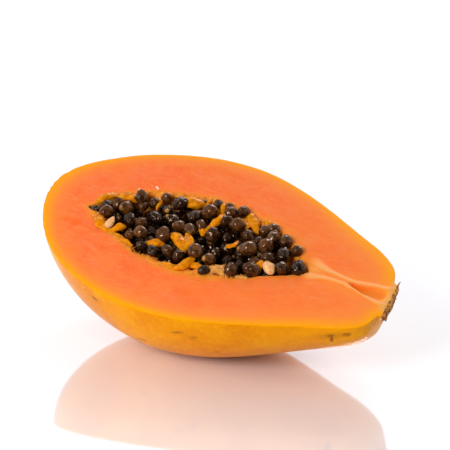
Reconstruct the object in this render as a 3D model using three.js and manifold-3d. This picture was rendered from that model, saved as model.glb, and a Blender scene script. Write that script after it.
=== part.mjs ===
// Half of a ripe papaya, cut lengthwise from blossom end to stem, lying on its skin.
// Units are millimetres. The fruit is drawn in its own frame: +X runs from the blossom
// tip to the stem, +Y across the cut face and +Z straight out of it. The last group
// rolls and pitches it to the way it lies, with the origin at the middle of its flat
// resting spot and +Z up.
import * as THREE from 'three';
import { mergeVertices } from 'three/addons/utils/BufferGeometryUtils.js';
import Module from 'manifold-3d';

const wasm = await Module();
wasm.setup();

// Clearance between pieces that touch.
const GAP = 0.35;

// Outer form of the whole fruit.
const WIDEST_X = 84;
const FRUIT_RADIUS = 56.2;
const NECK_X = 155;
const NECK_RADIUS = 34;
const NECK_SLOPE = 0.46;
const SHOULDER_X = 183.2;
const SHOULDER_RADIUS = 15;
const END_X = 184.6;
const END_SKEW = 0.09;
const SKEW_START = 164;
const SCAR_RADIUS = 11;
const LOBES = 5;
const LOBE_DEPTH = 0.018;
const BLOSSOM_BEND = 5;
const BEND_REACH = 16;
const FRUIT_SIDES = 50;

// Seed cavity.
const CAVITY_START = 26;
const CAVITY_LENGTH = 120;
const CAVITY_HALF_WIDTH = 26.4;
const CAVITY_DEPTH_SHARE = 0.88;
const TIP_DROP = 5;
const TIP_REACH = 8;
const HEEL_RISE = 2.4;
const HEEL_X = 127;
const HEEL_REACH = 14;
const CAVITY_STEPS = 18;
const CAVITY_SIDES = 28;

// Pocket in the core of the stem end.
const POCKET_TIP = new THREE.Vector2(157.6, 0);
const POCKET_LENGTH = 24.4;
const POCKET_HALF_WIDTH = 4;
const POCKET_DEPTH = 1.8;

// Woody crust where the stem broke off.
const CRUST_THICKNESS = 2.4;
const CRUST_RAGGEDNESS = 0.9;
const CRUST_DROP = 0.2;

// Seeds.
const SEED_RADIUS = 3.2;
const SEED_PITCH = 7;
const SEED_JITTER = 1.6;
const SEED_RISE = 0.7;
const SEED_TUMBLE = 1.3;
const SEED_EDGE_DROP = 1.2;
const SEED_EDGE_REACH = 9;
const SEED_EDGE_SHARE = 0.5;
const CORE_TOP = -1.1;
const RANDOM_SEED = 20117;

// Resting pose: roll about the length, pitch of the stem end, and the point of the
// uncut skin that is flattened against the surface.
const ROLL = THREE.MathUtils.degToRad(20.63);
const PITCH = THREE.MathUtils.degToRad(7.64);
const REST_POINT = new THREE.Vector3(96.1, -18.6, -49.6);

// Placenta tags on the mouth of the cavity, one row each: from, to, width, height, rise.
const RIM_TAGS = [
  [27, -1, 35, 3, 5, 4, -0.6],
  [36, 9.5, 47, 15.5, 5, 4, -1.0],
  [52.5, 18, 60, 8.5, 4.2, 4.4, 0.2],
  [67, 25, 76, 17.5, 6.4, 5, -0.4],
  [100, 25.5, 111, 12.5, 5.4, 5, 0],
  [90, -27, 94, -15, 4.2, 4.4, 0.2],
  [120.5, -15.5, 123.6, -5, 3.6, 4.4, 0.4],
  [35, -14.5, 40, -7.5, 6.4, 4.4, -0.4],
  [48, -20, 51, -9.5, 4.6, 4, -0.6],
  [79, -27, 84, -20.5, 5, 4, -1.2],
  [103, -25.5, 106, -17.5, 5.4, 4, -1.2],
];

// Placenta strands that lie free among the seeds, in the same form.
const STRANDS = [
  [[76.4, -3, 86.6, -13.2, 4.4, 4.6, 1], [83.2, -0.6, 86.6, -12.6, 3.6, 4.6, 1]],
  [[67, -16.6, 74, -10, 4.4, 4, 0.6]],
  [[86.6, 1.4, 91.4, 16.4, 4, 4.4, 1]],
  [[103.8, -2, 107, 4.4, 2.8, 3.6, 0.8]],
];

// Undeveloped white seeds, in the same form.
const PALE_SEEDS = [
  [43.2, -14.2, 44.6, -6.6, 4.9, 5, 1.1],
  [126.8, -8.4, 130.2, -1.8, 6.2, 5.6, 1.1],
];

function finish(name, color, roughness) {
  const material = new THREE.MeshStandardMaterial({ color, roughness, metalness: 0 });
  material.name = name;
  return material;
}

// Park-Miller generator, so that every run draws the same numbers.
function randomStream(start) {
  let state = start;
  return () => {
    state = (state * 16807) % 2147483647;
    return state / 2147483647;
  };
}

function toSolid(geometry) {
  const bare = geometry.clone();
  bare.deleteAttribute('normal');
  bare.deleteAttribute('uv');
  const merged = mergeVertices(bare, 1e-4);
  const index = merged.index.array;
  const kept = [];
  for (let i = 0; i < index.length; i += 3) {
    const [a, b, c] = [index[i], index[i + 1], index[i + 2]];
    if (a !== b && b !== c && c !== a) {
      kept.push(a, b, c);
    }
  }
  return new wasm.Manifold(new wasm.Mesh({
    numProp: 3,
    vertProperties: new Float32Array(merged.attributes.position.array),
    triVerts: new Uint32Array(kept),
  }));
}

// The largest body of a solid, without the crumbs that a cut can leave.
function toGeometry(solid) {
  const bodies = solid.decompose().sort((a, b) => b.volume() - a.volume());
  const mesh = bodies[0].getMesh();
  const geometry = new THREE.BufferGeometry();
  geometry.setAttribute('position', new THREE.BufferAttribute(new Float32Array(mesh.vertProperties), 3));
  geometry.setIndex(new THREE.BufferAttribute(new Uint32Array(mesh.triVerts), 1));
  geometry.computeVertexNormals();
  return geometry;
}

function joined(solids) {
  return solids.reduce((whole, solid) => whole.add(solid));
}

// A profile of (distance along X, radius) turned about the X axis.
function turned(profile, sides) {
  const spun = profile.map(([x, radius]) => new THREE.Vector2(radius, x));
  return new THREE.LatheGeometry(spun, sides).rotateZ(-Math.PI / 2).rotateX(-Math.PI / 2);
}

function movePoints(geometry, move) {
  const position = geometry.attributes.position;
  const point = new THREE.Vector3();
  for (let i = 0; i < position.count; i++) {
    point.fromBufferAttribute(position, i);
    move(point);
    position.setXYZ(i, point.x, point.y, point.z);
  }
  return geometry;
}

function box(x, y, z) {
  return new THREE.BoxGeometry(x, y, z);
}

function fruitProfile() {
  const path = new THREE.Path();
  path.moveTo(0, 0);
  path.bezierCurveTo(0, 28, WIDEST_X - 42, FRUIT_RADIUS, WIDEST_X, FRUIT_RADIUS);
  path.bezierCurveTo(
    WIDEST_X + 26, FRUIT_RADIUS,
    NECK_X - 20, NECK_RADIUS + 20 * NECK_SLOPE,
    NECK_X, NECK_RADIUS,
  );
  path.bezierCurveTo(
    NECK_X + 14, NECK_RADIUS - 14 * NECK_SLOPE,
    SHOULDER_X - 1.5, SHOULDER_RADIUS + 9,
    SHOULDER_X, SHOULDER_RADIUS,
  );
  const points = path.curves.flatMap((curve, i) => curve.getPoints([14, 9, 8][i]).slice(i ? 1 : 0));
  const profile = points.map((point) => [point.x, point.y]);
  profile.push([END_X, SCAR_RADIUS], [END_X, SCAR_RADIUS / 2], [END_X, 0]);
  return profile;
}

// The stem end is cut off a little askew, shorter on its +Y side.
function skewEnd(point) {
  point.x -= END_SKEW * point.y * THREE.MathUtils.smoothstep(point.x, SKEW_START, END_X);
}

// Five shallow lobes, with a hollow between two of them where the fruit rests, and a
// blossom tip bent a little toward +Y.
function swell(point) {
  const angle = Math.atan2(point.y, -point.z);
  const taper = Math.sin(Math.PI * Math.min(point.x / END_X, 1));
  const lobe = 1 - LOBE_DEPTH * taper * Math.cos(LOBES * (angle + ROLL));
  point.y = point.y * lobe + BLOSSOM_BEND * Math.exp(-point.x / BEND_REACH);
  point.z *= lobe;
  skewEnd(point);
}

function wholeFruit() {
  return toSolid(movePoints(turned(fruitProfile(), FRUIT_SIDES), swell));
}

function mouthHalfWidth(x) {
  const share = THREE.MathUtils.clamp((x - CAVITY_START) / CAVITY_LENGTH, 0, 1);
  return CAVITY_HALF_WIDTH * Math.sin(Math.PI * share) ** (0.65 + 0.2 * share);
}

// The line that the mouth is even about: its tip lies toward -Y, its heel toward +Y.
function mouthMiddle(x) {
  const tip = TIP_DROP * Math.exp(-(((x - CAVITY_START) / TIP_REACH) ** 2));
  const heel = HEEL_RISE * Math.exp(-(((x - HEEL_X) / HEEL_REACH) ** 2));
  return heel - tip;
}

function cavity(clearance) {
  const profile = [[CAVITY_START + clearance, 0]];
  for (let i = 1; i < CAVITY_STEPS; i++) {
    const x = CAVITY_START + CAVITY_LENGTH * (1 - Math.cos((Math.PI * i) / CAVITY_STEPS)) / 2;
    const radius = mouthHalfWidth(x) - clearance;
    if (radius > 0) {
      profile.push([x, radius]);
    }
  }
  profile.push([CAVITY_START + CAVITY_LENGTH - clearance, 0]);
  return turned(profile, CAVITY_SIDES);
}

function hollow(clearance) {
  const shape = cavity(clearance).scale(1, 1, CAVITY_DEPTH_SHARE);
  return toSolid(movePoints(shape, (point) => {
    point.y += mouthMiddle(point.x);
  }));
}

// Everything above the seeds that stands inside the mouth of the cavity.
function mouthColumn(clearance) {
  const outline = [];
  for (let i = 0; i <= 2 * CAVITY_STEPS; i++) {
    const turn = (Math.PI * i) / CAVITY_STEPS;
    const x = CAVITY_START + CAVITY_LENGTH * (1 - Math.cos(turn)) / 2;
    const half = mouthHalfWidth(x) - clearance;
    if (half > 0.5) {
      outline.push(new THREE.Vector2(x, mouthMiddle(x) + (turn <= Math.PI ? half : -half)));
    }
  }
  const column = new THREE.ExtrudeGeometry(new THREE.Shape(outline), { depth: 12, bevelEnabled: false });
  return toSolid(column.translate(0, 0, -0.4));
}

function stemPocket() {
  const profile = [];
  for (let i = 0; i <= 8; i++) {
    const share = (1 - Math.cos((Math.PI * i) / 8)) / 2;
    const radius = POCKET_HALF_WIDTH * 1.3 * share * Math.sqrt(Math.max(1 - share, 0)) * 2;
    profile.push([POCKET_TIP.x + share * POCKET_LENGTH, Math.min(radius, POCKET_HALF_WIDTH)]);
  }
  const drop = turned(profile, 16).scale(1, 1, POCKET_DEPTH / POCKET_HALF_WIDTH);
  return toSolid(drop.translate(0, POCKET_TIP.y, 0));
}

// A plump spindle of pulp or seed from one point to another, its width and height
// grown by the clearance on every side.
function spindle([x0, y0, x1, y1, width, height, rise], clearance) {
  const grown = 2 * clearance;
  const length = Math.hypot(x1 - x0, y1 - y0);
  const shape = new THREE.SphereGeometry(0.5, 8, 6).rotateZ(Math.PI / 2);
  shape.scale(length + grown, width + grown, height + grown);
  shape.rotateZ(Math.atan2(y1 - y0, x1 - x0));
  return toSolid(shape.translate((x0 + x1) / 2, (y0 + y1) / 2, rise));
}

function spindles(rows, clearance) {
  return joined(rows.map((row) => spindle(row, clearance)));
}

function seedSpots() {
  const random = randomStream(RANDOM_SEED);
  const rowStep = SEED_PITCH * Math.sqrt(0.75);
  const spots = [];
  for (let row = -5; row <= 5; row++) {
    for (let column = 0; column < 20; column++) {
      const x = CAVITY_START + (column + (row % 2 ? 0.5 : 0)) * SEED_PITCH + (random() - 0.5) * SEED_JITTER;
      const y = row * rowStep + (random() - 0.5) * SEED_JITTER;
      const size = SEED_RADIUS * (0.9 + 0.18 * random());
      const tumble = random();
      const middle = mouthMiddle(x);
      const aside = y - middle;
      const room = mouthHalfWidth(x) - Math.abs(aside);
      if (room > size * SEED_EDGE_SHARE) {
        const edge = Math.max(0, 1 - room / SEED_EDGE_REACH);
        const z = SEED_RISE + (tumble - 0.5) * 2 * SEED_TUMBLE - SEED_EDGE_DROP * edge;
        const reach = Math.max(Math.min(Math.abs(aside), mouthHalfWidth(x) - size - GAP), 0);
        spots.push({ x, y: middle + Math.sign(aside) * reach, z, size, turn: tumble * 6 });
      }
    }
  }
  return spots;
}

function seedAt({ x, y, z, size, turn }) {
  const shape = new THREE.OctahedronGeometry(size, 1);
  shape.scale(1.1, 0.97, 1).rotateY(turn).rotateZ(turn);
  return toSolid(shape.translate(x, y, z));
}

function fruit(restCut) {
  const aboveCut = toSolid(box(220, 140, 80).translate(95, 0, 40));
  return wholeFruit()
    .subtract(aboveCut)
    .subtract(hollow(0))
    .subtract(stemPocket())
    .add(spindles(RIM_TAGS, 0))
    .subtract(spindles([...STRANDS.flat(), ...PALE_SEEDS], GAP))
    .subtract(restCut);
}

function seeds() {
  const core = hollow(GAP).subtract(toSolid(box(220, 140, 80).translate(95, 0, 40 + CORE_TOP)));
  const room = hollow(GAP).add(mouthColumn(GAP));
  return joined([core, ...seedSpots().map(seedAt)])
    .intersect(room)
    .subtract(spindles([...RIM_TAGS, ...STRANDS.flat(), ...PALE_SEEDS], GAP));
}

function stemCrust() {
  const random = randomStream(RANDOM_SEED + 1);
  const disc = new THREE.CylinderGeometry(SCAR_RADIUS, SCAR_RADIUS - 0.5, CRUST_THICKNESS, 22, 2);
  disc.rotateZ(-Math.PI / 2).translate(END_X + GAP + CRUST_THICKNESS / 2, 0, 0);
  movePoints(disc, skewEnd);
  const solid = toSolid(disc).subtract(toSolid(box(30, 30, 20).translate(END_X, 0, 10 - CRUST_DROP)));
  return solid.warp((vertex) => {
    const ragged = CRUST_RAGGEDNESS * (random() - 0.5);
    const outer = vertex[0] + END_SKEW * vertex[1] > END_X + GAP + CRUST_THICKNESS / 4;
    vertex[0] += outer ? ragged : 0;
  });
}

function mesh(name, solid, material) {
  const piece = new THREE.Mesh(toGeometry(solid), material);
  piece.name = name;
  return piece;
}

const pose = new THREE.Matrix4()
  .makeRotationY(PITCH)
  .multiply(new THREE.Matrix4().makeRotationX(ROLL));
const origin = REST_POINT.clone().applyMatrix4(pose).negate();

const papaya = new THREE.Group();
const lying = new THREE.Group();
lying.applyMatrix4(pose.clone().setPosition(origin));

const restCut = toSolid(box(300, 300, 60).translate(0, 0, -30).applyMatrix4(lying.matrix.clone().invert()));
lying.add(mesh('fruit', fruit(restCut), finish('papaya flesh and skin', 0xf78a4a, 0.45)));
lying.add(mesh('seeds', seeds(), finish('papaya seeds', 0x2c211c, 0.25)));
lying.add(mesh('stem_scar', stemCrust(), finish('dry stem crust', 0x6d4a2a, 0.9)));
STRANDS.forEach((rows, i) => {
  lying.add(mesh(`pulp_strand_${i + 1}`, spindles(rows, 0), finish('placenta pulp', 0xf6a21e, 0.4)));
});
PALE_SEEDS.forEach((row, i) => {
  lying.add(mesh(`pale_seed_${i + 1}`, spindle(row, 0), finish('undeveloped seed', 0xf1dcb4, 0.5)));
});
papaya.add(lying);

export default papaya;
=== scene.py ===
"""Half of a ripe papaya on a pale glossy surface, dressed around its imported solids.

Lengths are in millimetres in the fruit's own frame until a piece is finished: +X runs from
the blossom tip to the stem, +Y across the cut face and +Z straight out of it. The last step
of each piece turns and scales its mesh to the row frame, in metres.
"""

import logging
import math
from dataclasses import dataclass
from enum import Enum
from typing import Any, Callable, Iterator, Sequence

import bmesh
import bpy
import numpy as np
from bmesh.types import BMEdge, BMesh, BMFace, BMVert
from mathutils import Matrix, Vector, noise
from mathutils.geometry import interpolate_bezier, intersect_point_line
from mathutils.kdtree import KDTree


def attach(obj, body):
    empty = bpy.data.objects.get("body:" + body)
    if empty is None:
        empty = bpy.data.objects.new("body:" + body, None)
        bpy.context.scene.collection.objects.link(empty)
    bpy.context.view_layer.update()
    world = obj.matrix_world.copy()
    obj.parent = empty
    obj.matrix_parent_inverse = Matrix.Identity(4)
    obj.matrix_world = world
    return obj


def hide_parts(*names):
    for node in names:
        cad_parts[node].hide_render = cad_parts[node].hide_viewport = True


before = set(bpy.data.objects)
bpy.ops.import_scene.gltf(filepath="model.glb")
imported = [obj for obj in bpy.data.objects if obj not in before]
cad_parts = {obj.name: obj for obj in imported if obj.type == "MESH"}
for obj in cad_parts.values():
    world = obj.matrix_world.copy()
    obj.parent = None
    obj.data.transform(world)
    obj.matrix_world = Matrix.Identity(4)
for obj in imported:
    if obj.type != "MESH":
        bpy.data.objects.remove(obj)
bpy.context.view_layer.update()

LOG = logging.getLogger("papaya")
MM = 0.001
BODY = "root"
FLAT = Vector((1, 1, 0))    # multiplies a point into the cut plane
FACE_TAGS = ("rind", "mouth", "vein", "pad", "pocket")    # what the flesh's finish follows
SEED_TAGS = ("tone", "jelly", "tip")    # what the seeds' finish follows

# X, Y, rise above the cut plane and half-width, where a strip of soft tissue passes.
Station = tuple[float, float, float, float]
Strip = tuple[Station, ...]
# X, Y, rise above the cut plane, radius, tone from black to brown, share of jelly left.
SeedRow = tuple[float, float, float, float, float, float]
# Height or depth, width of the lumps and start of one layer of roughness.
Octave = tuple[float, float, float]
# Where a colour lies as an output from 0 to 1, its greatest share, and its hex code or output.
Coat = tuple[Any, float, Any]


# ---------------------------------------------------------------- small helpers


def linear(code: str) -> tuple[float, float, float, float]:
    """Turns an sRGB hex colour into linear light.

    Args:
        code: six hex digits, such as "ff8040".

    Returns:
        Red, green, blue and an alpha of 1.
    """
    parts = [int(code[i:i + 2], 16) / 255 for i in (0, 2, 4)]
    light = [p / 12.92 if p <= 0.04045 else ((p + 0.055) / 1.055) ** 2.4 for p in parts]
    return light[0], light[1], light[2], 1.0


def smooth(value: float, low: float, high: float) -> float:
    """Rises smoothly from 0 at low to 1 at high, or falls if low is above high."""
    share = min(max((value - low) / (high - low), 0.0), 1.0)
    return share * share * (3 - 2 * share)


def bump(value: float, middle: float, reach: float) -> float:
    """A bell of height 1 about the middle, with a half-width of about the reach."""
    return math.exp(-(((value - middle) / reach) ** 2))


def unit(value: float) -> float:
    """Brings a value between -1 and 1 to between 0 and 1."""
    return 0.5 + 0.5 * value


def park_miller(start: int) -> Iterator[float]:
    """Yields the same draws between 0 and 1 on every run.

    Args:
        start: the seed of the draw.

    Yields:
        The next draw.
    """
    state = start
    while True:
        state = (state * 16807) % 2147483647
        yield state / 2147483647


def node(tree: bpy.types.NodeTree, kind: str, links: dict[Any, Any] | None = None, **settings: Any) -> Any:
    """Adds one shader node.

    Args:
        tree: the tree that it goes in.
        kind: the node's type, without "ShaderNode".
        links: input socket, by name or number, to a value or to the output that feeds it.
        **settings: the node's own properties.

    Returns:
        The node.
    """
    made = tree.nodes.new("ShaderNode" + kind)
    for key, value in settings.items():
        setattr(made, key, value)
    for socket, value in (links or {}).items():
        if isinstance(value, bpy.types.NodeSocket):
            tree.links.new(value, made.inputs[socket])
        else:
            made.inputs[socket].default_value = value
    return made


# ---------------------------------------------------------------- the fruit's form


@dataclass(frozen=True)
class FruitForm:
    """Driving dimensions of the fruit and of the way it lies, as in its solids."""

    nose_rise: float = 28    # how far the profile leaves the blossom tip straight up
    widest_x: float = 84
    radius: float = 56.2
    widest_run: tuple[float, float] = (42, 26)    # how far the curves hold on before it and after it
    neck_x: float = 155
    neck_radius: float = 34
    neck_slope: float = 0.46
    neck_run: tuple[float, float] = (20, 14)
    shoulder_x: float = 183.2
    shoulder_radius: float = 15
    shoulder_run: tuple[float, float] = (1.5, 9)    # back along the fruit and out
    end_x: float = 184.6
    end_skew: float = 0.09
    skew_start: float = 164
    scar_radius: float = 11
    pad_rise: float = 1.7
    pad_depth_share: float = 0.62
    pad_edge: tuple[float, float] = (0.2, 0.9)    # how far outside and inside the scar's radius
    lobes: int = 5
    lobe_depth: float = 0.018
    blossom_bend: float = 5
    tip_shrink: float = 0.25
    shrink_reach: float = 30
    bend_reach: float = 16
    cavity_start: float = 26
    cavity_length: float = 120
    cavity_half_width: float = 26.4
    cavity_depth_share: float = 0.88
    mouth_power: tuple[float, float] = (0.65, 0.2)    # of its sine at the tip, and how much more at the heel
    tip_drop: float = 5
    tip_reach: float = 8
    heel_rise: float = 2.4
    heel_x: float = 127
    heel_reach: float = 14
    roll: float = math.radians(20.63)
    pitch: float = math.radians(7.64)
    rest_point: tuple[float, float, float] = (96.1, -18.6, -49.6)
    lip_least: float = 0.7
    lip_low: float = 3.0
    lip_high: float = 2.6
    lip_end: tuple[float, float] = (118, 108)
    lip_widths: tuple[float, float] = (2, 11)    # half-widths of the mouth between which it comes in
    lip_tuft: tuple[float, float, float] = (3.4, 102, 11)    # reach, middle and half-width
    lip_waves: Octave = (0.9, 5, 0.5)
    lip_ripples: Octave = (0.5, 1.7, 7)
    curve_steps: int = 60
    end_steps: int = 12
    stem_crowd: tuple[float, float] = (3, 3)    # how much closer the stations lie, and over what reach
    tip_crowd: tuple[float, float] = (0.8, 12)

    def lip(self, x: float, side: float) -> float:
        """How far the lip of placenta reaches in from the mouth's edge.

        Args:
            x: the distance along the fruit.
            side: 1 on the +Y side and -1 on the other.

        Returns:
            The reach, in millimetres.
        """
        tuft, middle, reach = self.lip_tuft
        low = self.lip_least + self.lip_low * smooth(x, *self.lip_end) + tuft * bump(x, middle, reach)
        full = self.lip_high if side > 0 else low
        uneven = 1.0
        for height, size, start in (self.lip_waves, self.lip_ripples):
            uneven += height * noise.noise(Vector((x / size, side, start)))
        return full * uneven * smooth(self.mouth_half_width(x), *self.lip_widths)

    def pose(self) -> Matrix:
        """Turns the fruit's frame in millimetres into the row frame in metres."""
        turn = Matrix.Rotation(self.pitch, 4, "Y") @ Matrix.Rotation(self.roll, 4, "X")
        return Matrix.Scale(MM, 4) @ turn @ Matrix.Translation(-Vector(self.rest_point))

    def profile(self) -> tuple[np.ndarray, np.ndarray, np.ndarray]:
        """Samples the outer profile, closer together toward the stem end.

        Returns:
            Station from 0 at the blossom tip to 1 at the middle of the stem end, and the
            distance along X and the radius at each.
        """
        (rise, fall), (into, past), (back, out) = self.widest_run, self.neck_run, self.shoulder_run
        widest, neck = (self.widest_x, self.radius), (self.neck_x, self.neck_radius)
        curves = (
            ((0, 0), (0, self.nose_rise), (self.widest_x - rise, self.radius), widest),
            (
                widest,
                (self.widest_x + fall, self.radius),
                (self.neck_x - into, self.neck_radius + into * self.neck_slope),
                neck,
            ),
            (
                neck,
                (self.neck_x + past, self.neck_radius - past * self.neck_slope),
                (self.shoulder_x - back, self.shoulder_radius + out),
                (self.shoulder_x, self.shoulder_radius),
            ),
        )
        points: list[tuple[float, float]] = [(0.0, 0.0)]
        for curve in curves:
            corners = [Vector((x, y, 0)) for x, y in curve]
            points += [(p.x, p.y) for p in interpolate_bezier(*corners, self.curve_steps)[1:]]
        points += [(self.end_x, self.scar_radius * share) for share in np.linspace(1, 0, self.end_steps)]
        line = np.array(points)
        steps = np.hypot(*np.diff(line, axis=0).T)
        along = (line[1:, 0] + line[:-1, 0]) / 2
        stem, before = self.stem_crowd
        tip, after = self.tip_crowd
        weight = 1 + stem * (along > self.shoulder_x - before) + tip * (along < after)
        station = np.concatenate(([0.0], np.cumsum(steps * weight)))
        return station / station[-1], line[:, 0], line[:, 1]

    def skew_end(self, point: Vector) -> None:
        """Shortens the stem end on its +Y side."""
        point.x -= self.end_skew * point.y * smooth(point.x, self.skew_start, self.end_x)

    def raise_pad(self, point: Vector) -> None:
        """Raises the firm oval pad under the stem out of the flat stem end.

        Args:
            point: the point of the skin, which is moved.
        """
        oval = math.hypot(point.y, point.z / self.pad_depth_share)
        flat = smooth(point.x, self.shoulder_x, self.end_x)
        outside, inside = self.pad_edge
        point.x += self.pad_rise * flat * smooth(oval, self.scar_radius + outside, self.scar_radius - inside)

    def swell(self, point: Vector) -> None:
        """Adds the five shallow lobes, the bent blossom tip and the skewed stem end.

        Args:
            point: the point of the skin, which is moved.
        """
        angle = math.atan2(point.y, -point.z)
        taper = math.sin(math.pi * min(point.x / self.end_x, 1))
        lobe = 1 - self.lobe_depth * taper * math.cos(self.lobes * (angle + self.roll))
        point.x += self.tip_shrink * smooth(point.x, self.shrink_reach, 0)
        point.y = point.y * lobe + self.blossom_bend * math.exp(-point.x / self.bend_reach)
        point.z *= lobe
        self.skew_end(point)

    def mouth_half_width(self, x: float) -> float:
        """Half the width of the cavity's mouth at X.

        Args:
            x: the distance along the fruit.

        Returns:
            The half-width, in millimetres.
        """
        share = min(max((x - self.cavity_start) / self.cavity_length, 0.0), 1.0)
        power, more = self.mouth_power
        return self.cavity_half_width * math.sin(math.pi * share) ** (power + more * share)

    def mouth_middle(self, x: float) -> float:
        """Y of the line that the mouth is even about."""
        tip = self.tip_drop * bump(x, self.cavity_start, self.tip_reach)
        return self.heel_rise * bump(x, self.heel_x, self.heel_reach) - tip


FORM = FruitForm()


class Slot(Enum):
    """The record's material slots."""

    FRUIT = "fruit"
    SEEDS = "seeds"
    CRUST = "stem_crust"
    PULP = "placenta_pulp"
    PALE = "pale_seed"


def finish_piece(bm: BMesh, name: str, materials: Sequence[bpy.types.Material], slot: Slot,
                 replaces: Sequence[str] = ()) -> bpy.types.Object:
    """Turns a bmesh in the fruit's frame into a finished piece that rides on the body.

    Args:
        bm: the mesh, which is freed.
        name: the piece's name.
        materials: its materials, in the order of the faces' material numbers.
        slot: the record's slot; not used.
        replaces: the CAD nodes that it stands for.

    Returns:
        The piece.
    """
    bmesh.ops.transform(bm, matrix=FORM.pose(), verts=bm.verts)
    for vert in bm.verts:
        vert.co.z = max(vert.co.z, 0)    # the flat spot that it rests on
    mesh = bpy.data.meshes.new(name)
    for face in bm.faces:
        face.smooth = True
    bm.to_mesh(mesh)
    bm.free()
    for material in materials:
        mesh.materials.append(material)
    piece = bpy.data.objects.new(name, mesh)
    bpy.context.scene.collection.objects.link(piece)
    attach(piece, BODY)
    if replaces:
        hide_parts(*replaces)
    LOG.info("%s: %d faces", name, len(mesh.polygons))
    return piece


def ring_verts(ring: Sequence[BMEdge]) -> set[BMVert]:
    """The points of a ring of edges."""
    return {vert for edge in ring for vert in edge.verts}


def absorb(whole: BMesh, part: BMesh) -> None:
    """Moves a small mesh into a large one, quicker than operators would grow the large one.

    Args:
        whole: the large mesh.
        part: the small one, which is freed.
    """
    carried = bpy.data.meshes.new("part")
    part.to_mesh(carried)
    part.free()
    whole.from_mesh(carried)
    bpy.data.meshes.remove(carried)


def to_line(point: Vector, line: Sequence[tuple[float, float]]) -> float:
    """The distance from a point to a line of straight stretches.

    Args:
        point: where, in two dimensions.
        line: the corners of the line.

    Returns:
        The distance.
    """
    best = math.inf
    for start, end in zip(line, line[1:]):
        foot, share = intersect_point_line(point, start, end)
        if share < 0:
            foot = Vector(start)
        elif share > 1:
            foot = Vector(end)
        best = min(best, (point - foot.to_2d()).length)
    return best


def rough(point: Vector, size: float, start: float = 0.0) -> float:
    """Smooth noise between about -1 and 1.

    Args:
        point: where, in millimetres.
        size: the width of one lump, in millimetres.
        start: moves the pattern, so that two uses differ.

    Returns:
        The noise.
    """
    return noise.noise(point / size + Vector((start, start, start)))


def layered(point: Vector, octaves: Sequence[Octave]) -> float:
    """The roughness at a point, summed over octaves from coarse to fine."""
    return sum(height * rough(point, size, start) for height, size, start in octaves)


# ---------------------------------------------------------------- finishes


def start_finish(name: str, **sockets: Any) -> tuple[bpy.types.Material, bpy.types.NodeTree, Any, Any]:
    """Starts a material with one surface shader.

    Args:
        name: the finish's plain name.
        **sockets: the shader's uniform values, with "_" for a blank in the socket's name.

    Returns:
        The material, its tree, the shader and the piece's own coordinates.
    """
    material = bpy.data.materials.new(name)
    material.use_nodes = True
    tree = material.node_tree
    tree.nodes.clear()
    values = {key.replace("_", " "): value for key, value in sockets.items()}
    shader = node(tree, "BsdfPrincipled", values)
    node(tree, "OutputMaterial", {"Surface": shader.outputs[0]})
    return material, tree, shader, node(tree, "TexCoord").outputs["Object"]


def per(size: float) -> float:
    """The scale of a texture whose lumps are this many millimetres wide."""
    return 1 / (size * MM)


def patches(tree: bpy.types.NodeTree, place: Any, size: float, low: float, high: float,
            detail: float = 3.0, warp: float = 0.0) -> Any:
    """A pattern of soft patches.

    Args:
        tree: the material's tree.
        place: the coordinates.
        size: the width of a patch in millimetres.
        low: the noise that becomes 0.
        high: the noise that becomes 1.
        detail: how many finer octaves are laid over it.
        warp: how far the patches are pulled about.

    Returns:
        The output, from 0 between the patches to 1 on them.
    """
    links = {"Vector": place, "Scale": per(size), "Detail": detail, "Distortion": warp}
    cloud = node(tree, "TexNoise", links).outputs[0]
    links = {0: cloud, 1: low, 2: high}
    return node(tree, "MapRange", links, interpolation_type="SMOOTHSTEP").outputs[0]


def coloured(tree: bpy.types.NodeTree, base: Any, coats: Sequence[Coat]) -> Any:
    """Lays coats of colour over one another.

    Args:
        tree: the material's tree.
        base: the colour below them all, linear or an output.
        coats: the coats, from the lowest up.

    Returns:
        The colour's output.
    """
    for where, most, colour in coats:
        if most < 1:
            where = node(tree, "Math", {0: where, 1: most}, operation="MULTIPLY").outputs[0]
        top = linear(colour) if isinstance(colour, str) else colour
        base = node(tree, "Mix", {0: where, 6: base, 7: top}, data_type="RGBA").outputs[2]
    return base


@dataclass(frozen=True)
class Mark:
    """A scar on the skin or a streak in the flesh, from one point to another, in millimetres."""

    start: tuple[float, float, float]
    end: tuple[float, float, float]
    width: float
    strength: float

    def on(self, tree: bpy.types.NodeTree, place: Any) -> Any:
        """Where the mark lies.

        Args:
            tree: the material's tree.
            place: the coordinates.

        Returns:
            The output, from 0 off the mark to its strength on it.
        """
        start, end = (FORM.pose() @ Vector(point) for point in (self.start, self.end))
        along = end - start
        reach = along.length / 2 + self.width * MM
        links = {
            "Vector": place,
            "Location": (start + end) / 2,
            "Rotation": along.to_track_quat("X", "Z").to_euler(),
            "Scale": (reach, self.width * MM, 1.6 * self.width * MM),
        }
        inside = node(tree, "Mapping", links, vector_type="TEXTURE").outputs[0]
        ball = node(tree, "TexGradient", {0: inside}, gradient_type="SPHERICAL").outputs[1]
        return node(tree, "MapRange", {0: ball, 1: 0.02, 2: 0.6, 3: 0.0, 4: self.strength}).outputs[0]


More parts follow.
